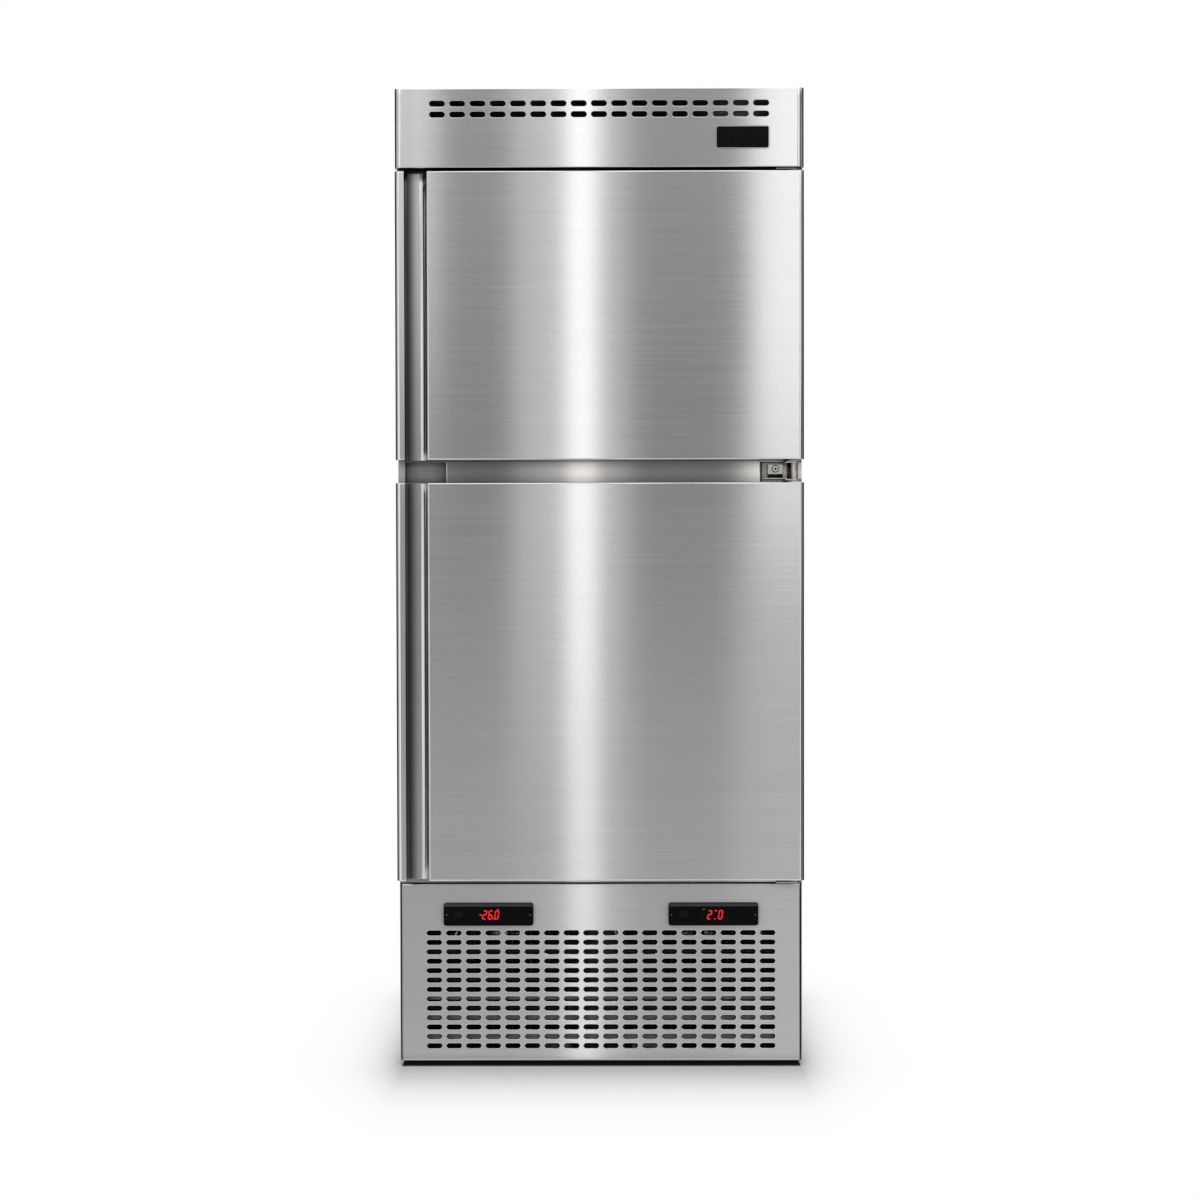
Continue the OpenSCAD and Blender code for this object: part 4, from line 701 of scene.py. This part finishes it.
# %% Put the finishes on the solids
finishes = {
    front_steel: ["header_panel", "upper_door_skin", "lower_door_skin"],
    base_steel: ["base_panel"],
    rail_steel: ["front_frame"],
    case_steel: ["left_side_panel", "right_side_panel"],
    inner_steel: ["upper_liner", "lower_liner", "upper_air_cover", "lower_air_cover",
                  "upper_door_inner_panel", "lower_door_inner_panel", "shelf_posts", "shelf_runners"],
    galvanised_steel: ["back_panel", "roof_panel", "top_cover", "floor_panel", "rear_grille",
                       "condensate_tray"],
    shade_dark_zinc: ["base_pan"],
    dark_paint: ["fan_shrouds"],
    hinge_steel: ["top_hinge", "middle_hinge", "bottom_hinge"],
    screw_steel: ["case_screws"],
    wire_steel: ["upper_shelf_1", "upper_shelf_2", "lower_shelf_1", "lower_shelf_2", "lower_shelf_3"],
    fin_aluminium: ["upper_evaporator", "lower_evaporator"],
    dark_fins: ["left_condenser", "right_condenser"],
    copper: ["filter_driers", "refrigerant_pipes"],
    motor_metal: ["condenser_fan_motors", "evaporator_fan_motors"],
    fan_plastic: ["left_condenser_fan", "right_condenser_fan", "upper_evaporator_fan",
                  "lower_evaporator_fan"],
    black_paint: ["left_compressor", "right_compressor"],
    black_rubber: ["compressor_mounts", "levelling_feet", "cable_gland"],
    seal_rubber: ["upper_door_seal", "lower_door_seal"],
    grey_plastic: ["thermal_breaks"],
    black_plastic: ["controllers"],
    window: ["display_windows"],
    white_plastic: ["upper_door_bushes", "lower_door_bushes"],
    box_paint: ["electrical_box"],
    foam: ["insulation", "upper_door_core", "lower_door_core"],
}
for paint, names in finishes.items():
    for name in names:
        solids[name].data.materials.clear()
        solids[name].data.materials.append(paint)
covered = {name for names in finishes.values() for name in names}
print("solids without a finish:", sorted(set(solids) - covered))

# %% [markdown]
# ## Tools for the small forms
#
# The solids have sharp sheet edges. A real cut or folded edge is slightly round, and the fine light
# line on it tells the eye that this is metal. The helpers below copy a solid, join its vertices, round
# what should be round, and show the copy in the solid's place. Others make new pieces from
# primitives. Faces and edges are chosen by where they lie and which way they look.

# %% Choosing faces and edges
def set_mode(mode):
    bpy.ops.object.mode_set(mode=mode)


def activate(piece):
    """Leaves edit mode, and makes this piece the only one that is selected."""
    if bpy.context.mode != "OBJECT":
        set_mode("OBJECT")
    bpy.ops.object.select_all(action="DESELECT")
    piece.select_set(True)
    bpy.context.view_layer.objects.active = piece


def choose(piece, kind, test):
    """Leaves the piece in edit mode with just the faces or edges selected that pass the test."""
    activate(piece)
    set_mode("EDIT")
    bpy.ops.mesh.select_mode(type=kind)
    bpy.ops.mesh.select_all(action="DESELECT")
    set_mode("OBJECT")
    points = piece.data.vertices
    if kind == "FACE":
        for face in piece.data.polygons:
            face.select = test(face.center, face.normal)
    else:
        for edge in piece.data.edges:
            a, b = (points[i].co for i in edge.vertices)
            edge.select = test((a + b) / 2, b - a)
    set_mode("EDIT")


def no_edge(middle, way):
    return False


def sharp_only(piece, test, degrees=30.0):
    """Selects the sharp edges that pass the test, and leaves the piece in edit mode."""
    choose(piece, "EDGE", no_edge)
    bpy.ops.mesh.edges_select_sharp(sharpness=math.radians(degrees))
    set_mode("OBJECT")
    points = piece.data.vertices
    keep = [edge.index for edge in piece.data.edges
            if edge.select and test(*(points[i].co for i in edge.vertices))]
    choose(piece, "EDGE", no_edge)
    set_mode("OBJECT")
    for index in keep:
        piece.data.edges[index].select = True
    set_mode("EDIT")
    return len(keep)


print("edges of the header's solid:", len(solids["header_panel"].data.edges))

# %% [markdown]
# A rounded edge needs smooth shading over its narrow faces, while the broad flat faces beside it stay
# flat. Shading by angle does the first, and the faces that look along an axis are then set flat.

# %% Rounding, copying and dressing
def modify(piece, kind, **settings):
    """Adds a modifier and applies it."""
    activate(piece)
    added = piece.modifiers.new(kind.lower(), kind)
    for label, value in settings.items():
        setattr(added, label, value)
    bpy.ops.object.modifier_apply(modifier=added.name)
    return piece


def done(piece, smooth=35.0):
    """Back to object mode, smooth over round edges, with the level and upright faces kept flat."""
    activate(piece)
    bpy.ops.object.shade_smooth_by_angle(angle=math.radians(smooth))
    choose(piece, "FACE", lambda middle, normal: max(abs(v) for v in normal) > 0.99999)
    bpy.ops.mesh.faces_shade_flat()
    set_mode("OBJECT")
    return piece


def round_edges(piece, width, segments=2, degrees=30.0):
    modify(piece, "BEVEL", width=width, segments=segments, limit_method="ANGLE",
           angle_limit=math.radians(degrees))
    return done(piece)


def copy_of(node, name, merge_flat=True):
    """A copy of a solid with its vertices joined and, if asked, its flat faces merged."""
    piece = bpy.data.objects.new(name, solids[node].data.copy())
    bpy.context.scene.collection.objects.link(piece)
    activate(piece)
    bpy.ops.mesh.customdata_custom_splitnormals_clear()
    set_mode("EDIT")
    bpy.ops.mesh.select_all(action="SELECT")
    bpy.ops.mesh.remove_doubles(threshold=0.000001)
    if merge_flat:
        bpy.ops.mesh.dissolve_limited(angle_limit=math.radians(0.5))
    set_mode("OBJECT")
    return piece


body_of = {node: body for body, nodes in frame["record"]["behaviour"]["bodies"].items()
           for node in nodes}


def dress(piece, paint, body):
    """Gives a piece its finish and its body."""
    if paint is not None:
        piece.data.materials.clear()
        piece.data.materials.append(paint)
    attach(piece, body)
    return piece


def stand_in(piece, node):
    """Shows the piece in place of the solid."""
    dress(piece, None, body_of[node])
    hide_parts(node)
    return piece


print("bodies:", sorted(set(body_of.values())))

# %% [markdown]
# New pieces start as a cube or a cylinder of the right size in the right place. What repeats is
# modelled once and copied, each copy with a mesh of its own, and the copies are joined to one piece.

# %% Starting and copying new pieces
facing_front = (math.radians(90.0), 0.0, 0.0)


def rounded_box(name, low, high, width, segments=2):
    """A block between two corners, with round edges."""
    middle = [(a + b) / 2 for a, b in zip(low, high)]
    piece = primitive(name, bpy.ops.mesh.primitive_cube_add, [b - a for a, b in zip(low, high)],
                      size=1.0, location=middle)
    return round_edges(piece, width, segments) if width else piece


def drum(name, centre, radius, depth, turn=facing_front, sides=32):
    return primitive(name, bpy.ops.mesh.primitive_cylinder_add, vertices=sides, radius=radius,
                     depth=depth, location=centre, rotation=turn)


def twin(piece, name, shift=(0.0, 0.0, 0.0)):
    """A copy with its own mesh, moved by that much."""
    made = bpy.data.objects.new(name, piece.data.copy())
    bpy.context.scene.collection.objects.link(made)
    made.data.transform(Matrix.Translation(shift))
    return made


def turned(piece, angle, axis, centre=(0.0, 0.0, 0.0)):
    """Turns the mesh itself about a point, and leaves the object at the origin."""
    place = Matrix.Translation(centre)
    piece.data.transform(place @ Matrix.Rotation(angle, 4, axis) @ place.inverted())
    return piece


def joined(pieces, name):
    bpy.ops.object.select_all(action="DESELECT")
    for piece in pieces:
        piece.select_set(True)
    bpy.context.view_layer.objects.active = pieces[0]
    if len(pieces) > 1:
        bpy.ops.object.join()
    pieces[0].name = pieces[0].data.name = name
    return pieces[0]


print("a drum faces the front when it is turned by", round(math.degrees(facing_front[0])), "degrees")

# %% [markdown]
# ## Header and base panel
#
# The punch pulls the edge of every slot a little inwards, so each slot has a light rim. The front
# edges of the slots get a round of nearly the sheet's thickness, and the outer edges a finer one.
#
# A bevel goes wrong on the long thin triangles between the slots, so the sheet is first cut along the
# middle of every web, and its triangles are then turned to the best shape.

# %% Cuts along the webs
same_plane = 0.0001
row_height, web_height = 0.012, 0.03  # one row of slots lies within the first, one web within the second
web_width, least_web = 0.015, 0.004
outside_row = 0.005


def web_middles(values, widest):
    """The middles of the gaps between sorted values, and a line outside the first and the last."""
    row = sorted({round(v, 5) for v in values})
    middles = [(a + b) / 2 for a, b in zip(row, row[1:]) if least_web < b - a < widest]
    return [row[0] - outside_row] + middles + [row[-1] + outside_row]


def cut_between_slots(piece, front_y, inside):
    """Cuts the sheet along the middle of every web, and turns its triangles to the best shape."""
    on_slots = [v.co for v in piece.data.vertices if abs(v.co.y - front_y) < same_plane and inside(v.co)]
    first_row = min(p.z for p in on_slots) + row_height
    columns = web_middles([p.x for p in on_slots if p.z < first_row], web_width)
    rows = web_middles([p.z for p in on_slots], web_height)
    cuts = [((x, 0.0, 0.0), (1.0, 0.0, 0.0)) for x in columns]
    cuts += [((0.0, 0.0, z), (0.0, 0.0, 1.0)) for z in rows]
    activate(piece)
    set_mode("EDIT")
    for place, way in cuts:
        bpy.ops.mesh.select_all(action="SELECT")
        bpy.ops.mesh.bisect(plane_co=place, plane_no=way)
    choose(piece, "FACE", lambda middle, normal: abs(normal.y) > 0.999)
    bpy.ops.mesh.quads_convert_to_tris(quad_method="BEAUTY", ngon_method="BEAUTY")
    bpy.ops.mesh.beautify_fill(angle_limit=math.radians(1.0))
    set_mode("OBJECT")
    return len(cuts)

# %% [markdown]
# The sharp edges on the front plane, away from the borders of the sheet, are those of the slots. The
# other sharp edges, at the borders, get the finer round.

# %% Rims of the slots
border_x, border_z = 0.03, 0.02


def rimmed(node, rim, edge):
    piece = copy_of(node, node + "_sheet", merge_flat=False)
    low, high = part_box(node)
    inner_x, bottom, top = high.x - border_x, low.z + border_z, high.z - border_z

    def within(p):
        return abs(p.x) < inner_x and bottom < p.z < top

    def on_slot(a, b):
        return (all(abs(p.y - low.y) < same_plane and abs(p.x) < inner_x for p in (a, b))
                and bottom < a.z < top)

    cuts = cut_between_slots(piece, low.y, within)
    count = sharp_only(piece, on_slot)
    bpy.ops.mesh.bevel(offset=rim, segments=2, affect="EDGES", clamp_overlap=False)
    sharp_only(piece, lambda a, b: not within(a), 45.0)
    bpy.ops.mesh.bevel(offset=edge, segments=2, affect="EDGES")
    done(piece)
    print(node, "cuts:", cuts, "rim edges:", count, "faces:", len(piece.data.polygons))
    return stand_in(piece, node)


rimmed("header_panel", 0.0007, 0.0003)
rimmed("base_panel", 0.0009, 0.0003)

# %% [markdown]
# ## Badge plate
#
# A small black plate sits on the right of the header. It has round corners and a narrow bright rim.
# It is made from a cube: its four short edges are rounded, then its front is inset and pushed in, so
# that a rim stands round it. The rim is worn bright, and gets the finish of the screws.

# %% Badge plate
badge_x, badge_z = (0.2365, 0.3440), (1.8775, 1.9225)
badge_thick, badge_corner, badge_rim, badge_sunk = 0.0015, 0.0045, 0.0009, 0.0004


def pick_material(piece, paint, test):
    """Adds a material and gives it to the faces that pass the test."""
    piece.data.materials.append(paint)
    for face in piece.data.polygons:
        if test(face.center, face.normal):
            face.material_index = len(piece.data.materials) - 1


def looks_forward(middle, normal):
    return normal.y < -0.9


header_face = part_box("header_panel")[0].y
badge = rounded_box("badge_plate", (badge_x[0], header_face - badge_thick, badge_z[0]),
                    (badge_x[1], header_face, badge_z[1]), 0.0)
choose(badge, "EDGE", lambda middle, way: abs(way.y) > 0.001)
bpy.ops.mesh.bevel(offset=badge_corner, segments=6, affect="EDGES")
choose(badge, "FACE", looks_forward)
bpy.ops.mesh.inset(thickness=badge_rim)
bpy.ops.mesh.extrude_region_move(TRANSFORM_OT_translate={"value": (0.0, badge_sunk, 0.0)})
done(badge)
dress(badge, black_plastic, "cabinet")
rim_y = header_face - badge_thick + badge_sunk / 2
pick_material(badge, screw_steel,
              lambda middle, normal: looks_forward(middle, normal) and middle.y < rim_y)
print("badge faces:", len(badge.data.polygons))

# %% [markdown]
# ## Displays
#
# Each temperature is written in seven glowing bars that lean to the right. A bar is a cube whose short
# ends are pulled in to points. The digits stand just proud of the smoked window.

# %% One bar of a digit
digit_w, digit_h, stroke, lean = 0.0094, 0.0194, 0.0026, 0.16
bar_thick, bar_proud, bar_point = 0.0004, 0.00021, 0.42
digits_rise = 0.0024  # the digits stand a little above the middle of the window
window_low, window_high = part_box("display_windows")
window_front = window_low.y
window_z = (window_low.z + window_high.z) / 2 + digits_rise


def bar(x, z, level, length):
    """One bar of a digit: its place is measured from the middle of the display."""
    size = (length, bar_thick, stroke) if level else (stroke, bar_thick, length)
    piece = rounded_box("bar", [-v / 2 for v in size], [v / 2 for v in size], 0.0)
    choose(piece, "EDGE", lambda middle, way: abs(way.y) > bar_thick * 0.75)
    bpy.ops.mesh.bevel(offset=stroke * bar_point, segments=1, affect="EDGES")
    set_mode("OBJECT")
    if not level:
        turned(piece, lean, "Y")
    piece.data.transform(Matrix.Translation((x + lean * z, window_front - bar_proud, window_z + z)))
    return piece


print("display front at y:", round(window_front, 4))

# %% [markdown]
# A bar is named by a letter, as on the real display: a is the top one, then clockwise to f, and g is
# the middle one. Each glyph is the string of its bars. The minus sign, the point and the small marks
# beside the digits are single level bars.

# %% The two temperatures
bars = {"a": (0, 2, 1), "b": (1, 1.5, 0), "c": (1, 0.5, 0), "d": (0, 0, 1), "e": (-1, 0.5, 0),
        "f": (-1, 1.5, 0), "g": (0, 1, 1)}  # side, step and whether the bar is level
glyphs = {"0": "abcdef", "2": "abged", "6": "afgedc"}
left_x, right_x = -0.232, 0.232  # the middles of the two displays
readings = {
    "left_display_digits": (left_x, (("2", -0.0079), ("6", 0.0043), ("0", 0.0171)),
                            ((-0.0158, 0.0, 0.0058), (0.0108, -0.0085, 0.0027))),
    "right_display_digits": (right_x, (("2", -0.0080), ("0", 0.0146)),
                             ((0.0036, 0.0082, 0.0058), (0.0042, -0.0085, 0.0034))),
}


def digit(centre, glyph):
    """The bars of a glyph, with a hairline gap between them."""
    half, rise = digit_w / 2, (digit_h - stroke) / 2
    made = []
    for label in glyphs[glyph]:
        side, step, level = bars[label]
        x = centre + side * (half - stroke / 2)
        made.append(bar(x, (step - 1) * rise, level, digit_w - 1.1 * stroke if level else rise * 0.96))
    return made


glowing, tree, shader = finish("red_display_light", Roughness=0.3, Emission_Strength=1.0)
hot = spread(tree, noise(tree, object_point(tree), 400.0, 2.0), 0.3, 0.7)
light = blend_colour(tree, hot, (0.66, 0.006, 0.010, 1.0), (0.88, 0.012, 0.014, 1.0))
tree.links.new(light, shader["Emission Color"])
body = blend_colour(tree, hot, (0.3, 0.0, 0.0, 1.0), (0.4, 0.01, 0.01, 1.0))
tree.links.new(body, shader["Base Color"])

for name, (middle, digits, single_bars) in readings.items():
    bits = [piece for glyph, x in digits for piece in digit(middle + x, glyph)]
    bits += [bar(middle + x, z, 1, length) for x, z, length in single_bars]
    print(name, "bars:", len(bits))
    dress(joined(bits, name), glowing, "cabinet")

# %% [markdown]
# Round the digits are a small white mark, a sensor window that looks faintly brown, and a screw cover
# near each end, which shows as a grey dot.

# %% Marks, sensor windows and end dots
def plain_paint(name, first, second, rough, **fixed):
    """Two close tones mixed by fine noise."""
    made, tree, shader = finish(name, **fixed)
    cloud = spread(tree, noise(tree, object_point(tree), 300.0, 2.0), 0.3, 0.7)
    tree.links.new(blend_colour(tree, cloud, first, second), shader["Base Color"])
    tree.links.new(spread(tree, cloud, 0.0, 1.0, rough, rough + 0.08), shader["Roughness"])
    return made


mark_grey = plain_paint("pale_mark", grey(0.26), grey(0.32), 0.4)
sensor_brown = plain_paint("brown_sensor_window", (0.011, 0.006, 0.005, 1.0),
                           (0.015, 0.008, 0.007, 1.0), 0.3, Specular_IOR_Level=0.08)
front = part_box("controllers")[0].y
dot_x, dot_z, dot_r, dot_thick, dot_sunk = 0.0862, -0.0002, 0.0012, 0.0006, 0.0001
mark_half, mark_y, mark_z = 0.0020, (-0.0003, 0.0003), (0.0108, 0.0122)
sensor_y, sensor_z = (-0.0002, 0.0004), (-0.0055, 0.0075)
dot_round, mark_round = 0.0003, 0.0002

dot = drum("dot", (0.0, front + dot_sunk, window_z + dot_z), dot_r, dot_thick, sides=16)
round_edges(dot, dot_round)
dots = [twin(dot, "dot", (centre + side * dot_x, 0.0, 0.0))
        for centre in (left_x, right_x) for side in (-1, 1)]
bpy.data.objects.remove(dot)
white_marks, sensors = [], []
for centre, mark_x, sensor_x in ((left_x, 0.0196, (-0.0705, -0.0535)),
                                 (right_x, -0.0200, (-0.0705, -0.0515))):
    low = (centre + mark_x - mark_half, front + mark_y[0], window_z + mark_z[0])
    high = (centre + mark_x + mark_half, front + mark_y[1], window_z + mark_z[1])
    white_marks.append(rounded_box("mark", low, high, mark_round))
    low = (centre + sensor_x[0], front + sensor_y[0], window_z + sensor_z[0])
    high = (centre + sensor_x[1], front + sensor_y[1], window_z + sensor_z[1])
    sensors.append(rounded_box("sensor", low, high, mark_round))
print("dots:", len(dots), "marks:", len(white_marks), "sensor windows:", len(sensors))
dress(joined(dots + white_marks, "controller_marks"), mark_grey, "cabinet")
dress(joined(sensors, "controller_sensors"), sensor_brown, "cabinet")

# %% [markdown]
# ## Rounded edges on the other outer parts
#
# Doors, hinges, controllers, feet and boxes all get a fine round on their edges, each of the width
# that its making leaves: hairline on cut sheet, wider on moulded plastic and on pressed plates. The
# block that clamps the middle hinge is a little shorter than its solid, with a larger cap screw, so
# its copy is reshaped before its edges are rounded.

# %% Rounded edges
edge_widths = {
    "upper_door_skin": 0.0003, "lower_door_skin": 0.0003, "front_frame": 0.0003,
    "left_side_panel": 0.0003, "right_side_panel": 0.0003, "top_cover": 0.0003,
    "top_hinge": 0.0006, "middle_hinge": 0.0006, "bottom_hinge": 0.0006, "case_screws": 0.0003,
    "controllers": 0.0006, "levelling_feet": 0.0006, "electrical_box": 0.0010, "cable_gland": 0.0006,
    "upper_door_inner_panel": 0.0004, "lower_door_inner_panel": 0.0004, "thermal_breaks": 0.0006,
    "upper_door_bushes": 0.0005, "lower_door_bushes": 0.0005, "condenser_fan_motors": 0.0010,
    "evaporator_fan_motors": 0.0010, "condensate_tray": 0.0003, "rear_grille": 0.0003,
    "upper_door_seal": 0.0007, "lower_door_seal": 0.0007,
}
clamp_x, clamp_z, clamp_front = 0.361, 1.2275, -0.333  # the middle of its screw, and its front face
clamp_foot, clamp_half, clamp_back, foot_rise = 1.214, 0.0158, -0.3188, 0.0068
screw_reach, screw_growth, screw_rise = 0.0062, 1.28, 0.0042
lip_above, lip_before = 0.331, -0.3361  # where the upper lips of the controllers lie


def raise_clamp(piece):
    """Lifts the foot of the clamp block, and enlarges and lifts its cap screw."""
    for vertex in piece.data.vertices:
        x, y, z = vertex.co
        away = math.hypot(x - clamp_x, z - clamp_z)
        if away < screw_reach and y > clamp_front - 0.003:
            grow = screw_growth if y < clamp_front + same_plane else 1.0
            vertex.co = (clamp_x + (x - clamp_x) * grow, y, clamp_z + (z - clamp_z) * grow + screw_rise)
        elif abs(z - clamp_foot) < 0.0002 and abs(x - clamp_x) < clamp_half and y < clamp_back:
            vertex.co.z += foot_rise


for node, width in edge_widths.items():
    piece = copy_of(node, node + "_rounded")
    if node in ("middle_hinge", "case_screws"):
        raise_clamp(piece)
    round_edges(piece, width)
    stand_in(piece, node)
    if node == "controllers":
        pick_material(piece, lip_plastic,
                      lambda middle, normal: middle.z > lip_above and middle.y < lip_before)
print("rounded:", len(edge_widths))

# %% [markdown]
# The clamp's screw sits on a thin black washer, and the foot of the hinge plate is bent forward into a
# narrow ledge that catches the light. The washer is a low drum and the ledge a flat block, both with
# their edges rounded.

# %% Washer and ledge of the middle hinge
washer_r, washer_thick, washer_round = 0.0074, 0.0006, 0.0002
ledge_low, ledge_high, ledge_round = (0.3375, -0.3335, 1.2105), (0.3850, -0.3185, 1.2130), 0.0008

washer_place = (clamp_x, clamp_front - washer_thick / 2, clamp_z + screw_rise)
washer = drum("clamp_washer", washer_place, washer_r, washer_thick, sides=40)
round_edges(washer, washer_round, 1)
dress(washer, dark_paint, "cabinet")
ledge = rounded_box("hinge_plate_ledge", ledge_low, ledge_high, ledge_round)
dress(ledge, screw_steel, "cabinet")
print("washer and ledge faces:", len(washer.data.polygons), len(ledge.data.polygons))

# %% [markdown]
# ## Fans
#
# An axial fan is one moulding: a domed hub and blades that are curved like a spoon and twisted, steep at
# the hub and flat at the tip. One blade is a grid that is tapered at its tip, bent across its width
# and twisted along its length by modifiers, and then given its wall. It is copied round the hub.

# %% Fans with curved blades
blade_count, blade_pitch, blade_bend, blade_twist = 7, 32.0, 34.0, -16.0
blade_long, blade_wide, blade_wall = 0.72, 0.62, 0.0016  # the first two as shares of the radius
blade_middle, taper_from, taper_about, taper = 0.62, 0.35, 0.36, 0.78
hub_share, hub_inset, hub_sunk, shaft_r = 0.3, 0.45, 0.0012, 0.004
blade_round, hub_round = 0.0004, 0.0016


def make_blade(radius):
    """One blade, standing out to the right of the fan's axis."""
    blade = primitive("blade", bpy.ops.mesh.primitive_grid_add,
                      (radius * blade_long, radius * blade_wide, 1.0),
                      x_subdivisions=8, y_subdivisions=6, size=1.0)
    choose(blade, "EDGE", lambda middle, way: middle.x > radius * taper_from)
    bpy.ops.transform.resize(value=(1.0, taper, 1.0), center_override=(radius * taper_about, 0.0, 0.0))
    for method, degrees in (("BEND", blade_bend), ("TWIST", blade_twist)):
        modify(blade, "SIMPLE_DEFORM", deform_method=method, deform_axis="X",
               angle=math.radians(degrees))
    modify(blade, "SOLIDIFY", thickness=blade_wall, offset=0.0)
    round_edges(blade, blade_round, 1, 60.0)
    turned(blade, math.radians(blade_pitch), "X")
    blade.data.transform(Matrix.Translation((radius * blade_middle, 0.0, 0.0)))
    return turned(blade, math.radians(90.0), "X")


def fan(node, depth):
    low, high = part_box(node)
    centre, radius, length = (low + high) / 2, (high.x - low.x) / 2, high.y - low.y
    hub_r = radius * hub_share
    blade = make_blade(radius)
    pieces = [blade]
    for count in range(1, blade_count):
        pieces.append(turned(twin(blade, "blade"), math.radians(360.0 * count / blade_count), "Y"))
    hub = drum("hub", (0.0, 0.0, 0.0), hub_r, depth, sides=40)
    choose(hub, "FACE", looks_forward)
    bpy.ops.mesh.inset(thickness=hub_r * hub_inset)
    bpy.ops.mesh.extrude_region_move(TRANSFORM_OT_translate={"value": (0.0, hub_sunk, 0.0)})
    round_edges(hub, hub_round, 3, 50.0)
    shaft = drum("shaft", (0.0, length / 2, 0.0), shaft_r, length - depth / 2, sides=24)
    whole = joined(pieces + [hub, shaft], node + "_moulded")
    whole.data.transform(Matrix.Translation((centre.x, low.y + depth / 2, centre.z)))
    whole.data.materials.clear()
    whole.data.materials.append(fan_plastic)
    reach = max(vertex.co.x for vertex in whole.data.vertices) - centre.x
    print(whole.name, "faces:", len(whole.data.polygons), "reach:", round(reach, 4),
          "of", round(radius, 4))
    return stand_in(whole, node)


fan_depth = {"left_condenser_fan": 0.026, "right_condenser_fan": 0.026,
             "upper_evaporator_fan": 0.022, "lower_evaporator_fan": 0.022}
for node, depth in fan_depth.items():
    fan(node, depth)

# %% [markdown]
# ## Behind the base slots
#
# Three folded rails cross the front of the machine space behind the slotted panel. They show through
# the slots as grey bars. Each is a strip of sheet with its two long edges folded back: a box whose
# back is removed by an inset and a push. One is modelled, and the others are its copies.

# %% Rails behind the base slots
rail_x, rail_y, rail_half = 0.372, (-0.3085, -0.3015), 0.0055
rail_heights = (0.137, 0.096, 0.056)
rail_wall, rail_hollow, rail_round = 0.0008, 0.006, 0.0002

rail = rounded_box("rail", (-rail_x, rail_y[0], rail_heights[0] - rail_half),
                   (rail_x, rail_y[1], rail_heights[0] + rail_half), 0.0)
choose(rail, "FACE", lambda middle, normal: normal.y > 0.9)
bpy.ops.mesh.inset(thickness=rail_wall)
bpy.ops.mesh.extrude_region_move(TRANSFORM_OT_translate={"value": (0.0, -rail_hollow, 0.0)})
round_edges(rail, rail_round, 1, 60.0)
rails = [rail] + [twin(rail, "rail", (0.0, 0.0, z - rail_heights[0])) for z in rail_heights[1:]]
print("rails:", len(rails))
dress(joined(rails, "condenser_rails"), rail_zinc, "cabinet")

# %% [markdown]
# Three short ties of bright sheet stand behind the slots and are seen through a few of them only. Each
# is a thin strip with rounded edges, turned about its own middle.

# %% Ties behind the base slots
tie_half, tie_y, tie_round = 0.0016, (-0.3010, -0.2998), 0.0004
tie_places = ((-0.300, 0.271, 0.030, 24.0), (-0.300, 0.098, 0.026, 52.0),
              (0.030, 0.271, 0.024, -20.0))  # x, z, length and lean of each

ties = []
for x, z, length, degrees in tie_places:
    tie = rounded_box("tie", (x - tie_half, tie_y[0], z - length / 2),
                      (x + tie_half, tie_y[1], z + length / 2), tie_round)
    ties.append(turned(tie, math.radians(degrees), "Y", (x, sum(tie_y) / 2, z)))
print("ties:", len(ties))
dress(joined(ties, "condenser_ties"), screw_steel, "cabinet")

# %% [markdown]
# ## Screws of the air covers
#
# Each air cover is held by four pan-head screws. A head is a low drum with a rounded rim, and its
# cross is cut by two thin blocks that are taken away by the Boolean modifier. One head is modelled at
# the origin, and copies of it go to the corners of both covers.

# %% Air cover screws
head_r, head_high, head_round = 0.0036, 0.0016, 0.0003
cross_long, cross_wide, cross_y = 0.0020, 0.0004, (-0.0020, -0.0009)
corner_x, corner_z = 0.05, 0.012


def cross_screw():
    """A screw head whose seat lies at the origin."""
    head = drum("screw", (0.0, -head_high / 2, 0.0), head_r, head_high, sides=20)
    for a, b in ((cross_long, cross_wide), (cross_wide, cross_long)):
        cut = rounded_box("cut", (-a, cross_y[0], -b), (a, cross_y[1], b), 0.0)
        modify(head, "BOOLEAN", object=cut, operation="DIFFERENCE", solver="EXACT")
        bpy.data.objects.remove(cut)
    return round_edges(head, head_round, 2, 50.0)


master = cross_screw()
screws = []
for node in ("upper_air_cover", "lower_air_cover"):
    low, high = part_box(node)
    for x in (low.x + corner_x, high.x - corner_x):
        for z in (low.z + corner_z, high.z - corner_z):
            screws.append(twin(master, "screw", (x, low.y, z)))
bpy.data.objects.remove(master)
print("air cover screws:", len(screws))
dress(joined(screws, "air_cover_screws"), screw_steel, "cabinet")
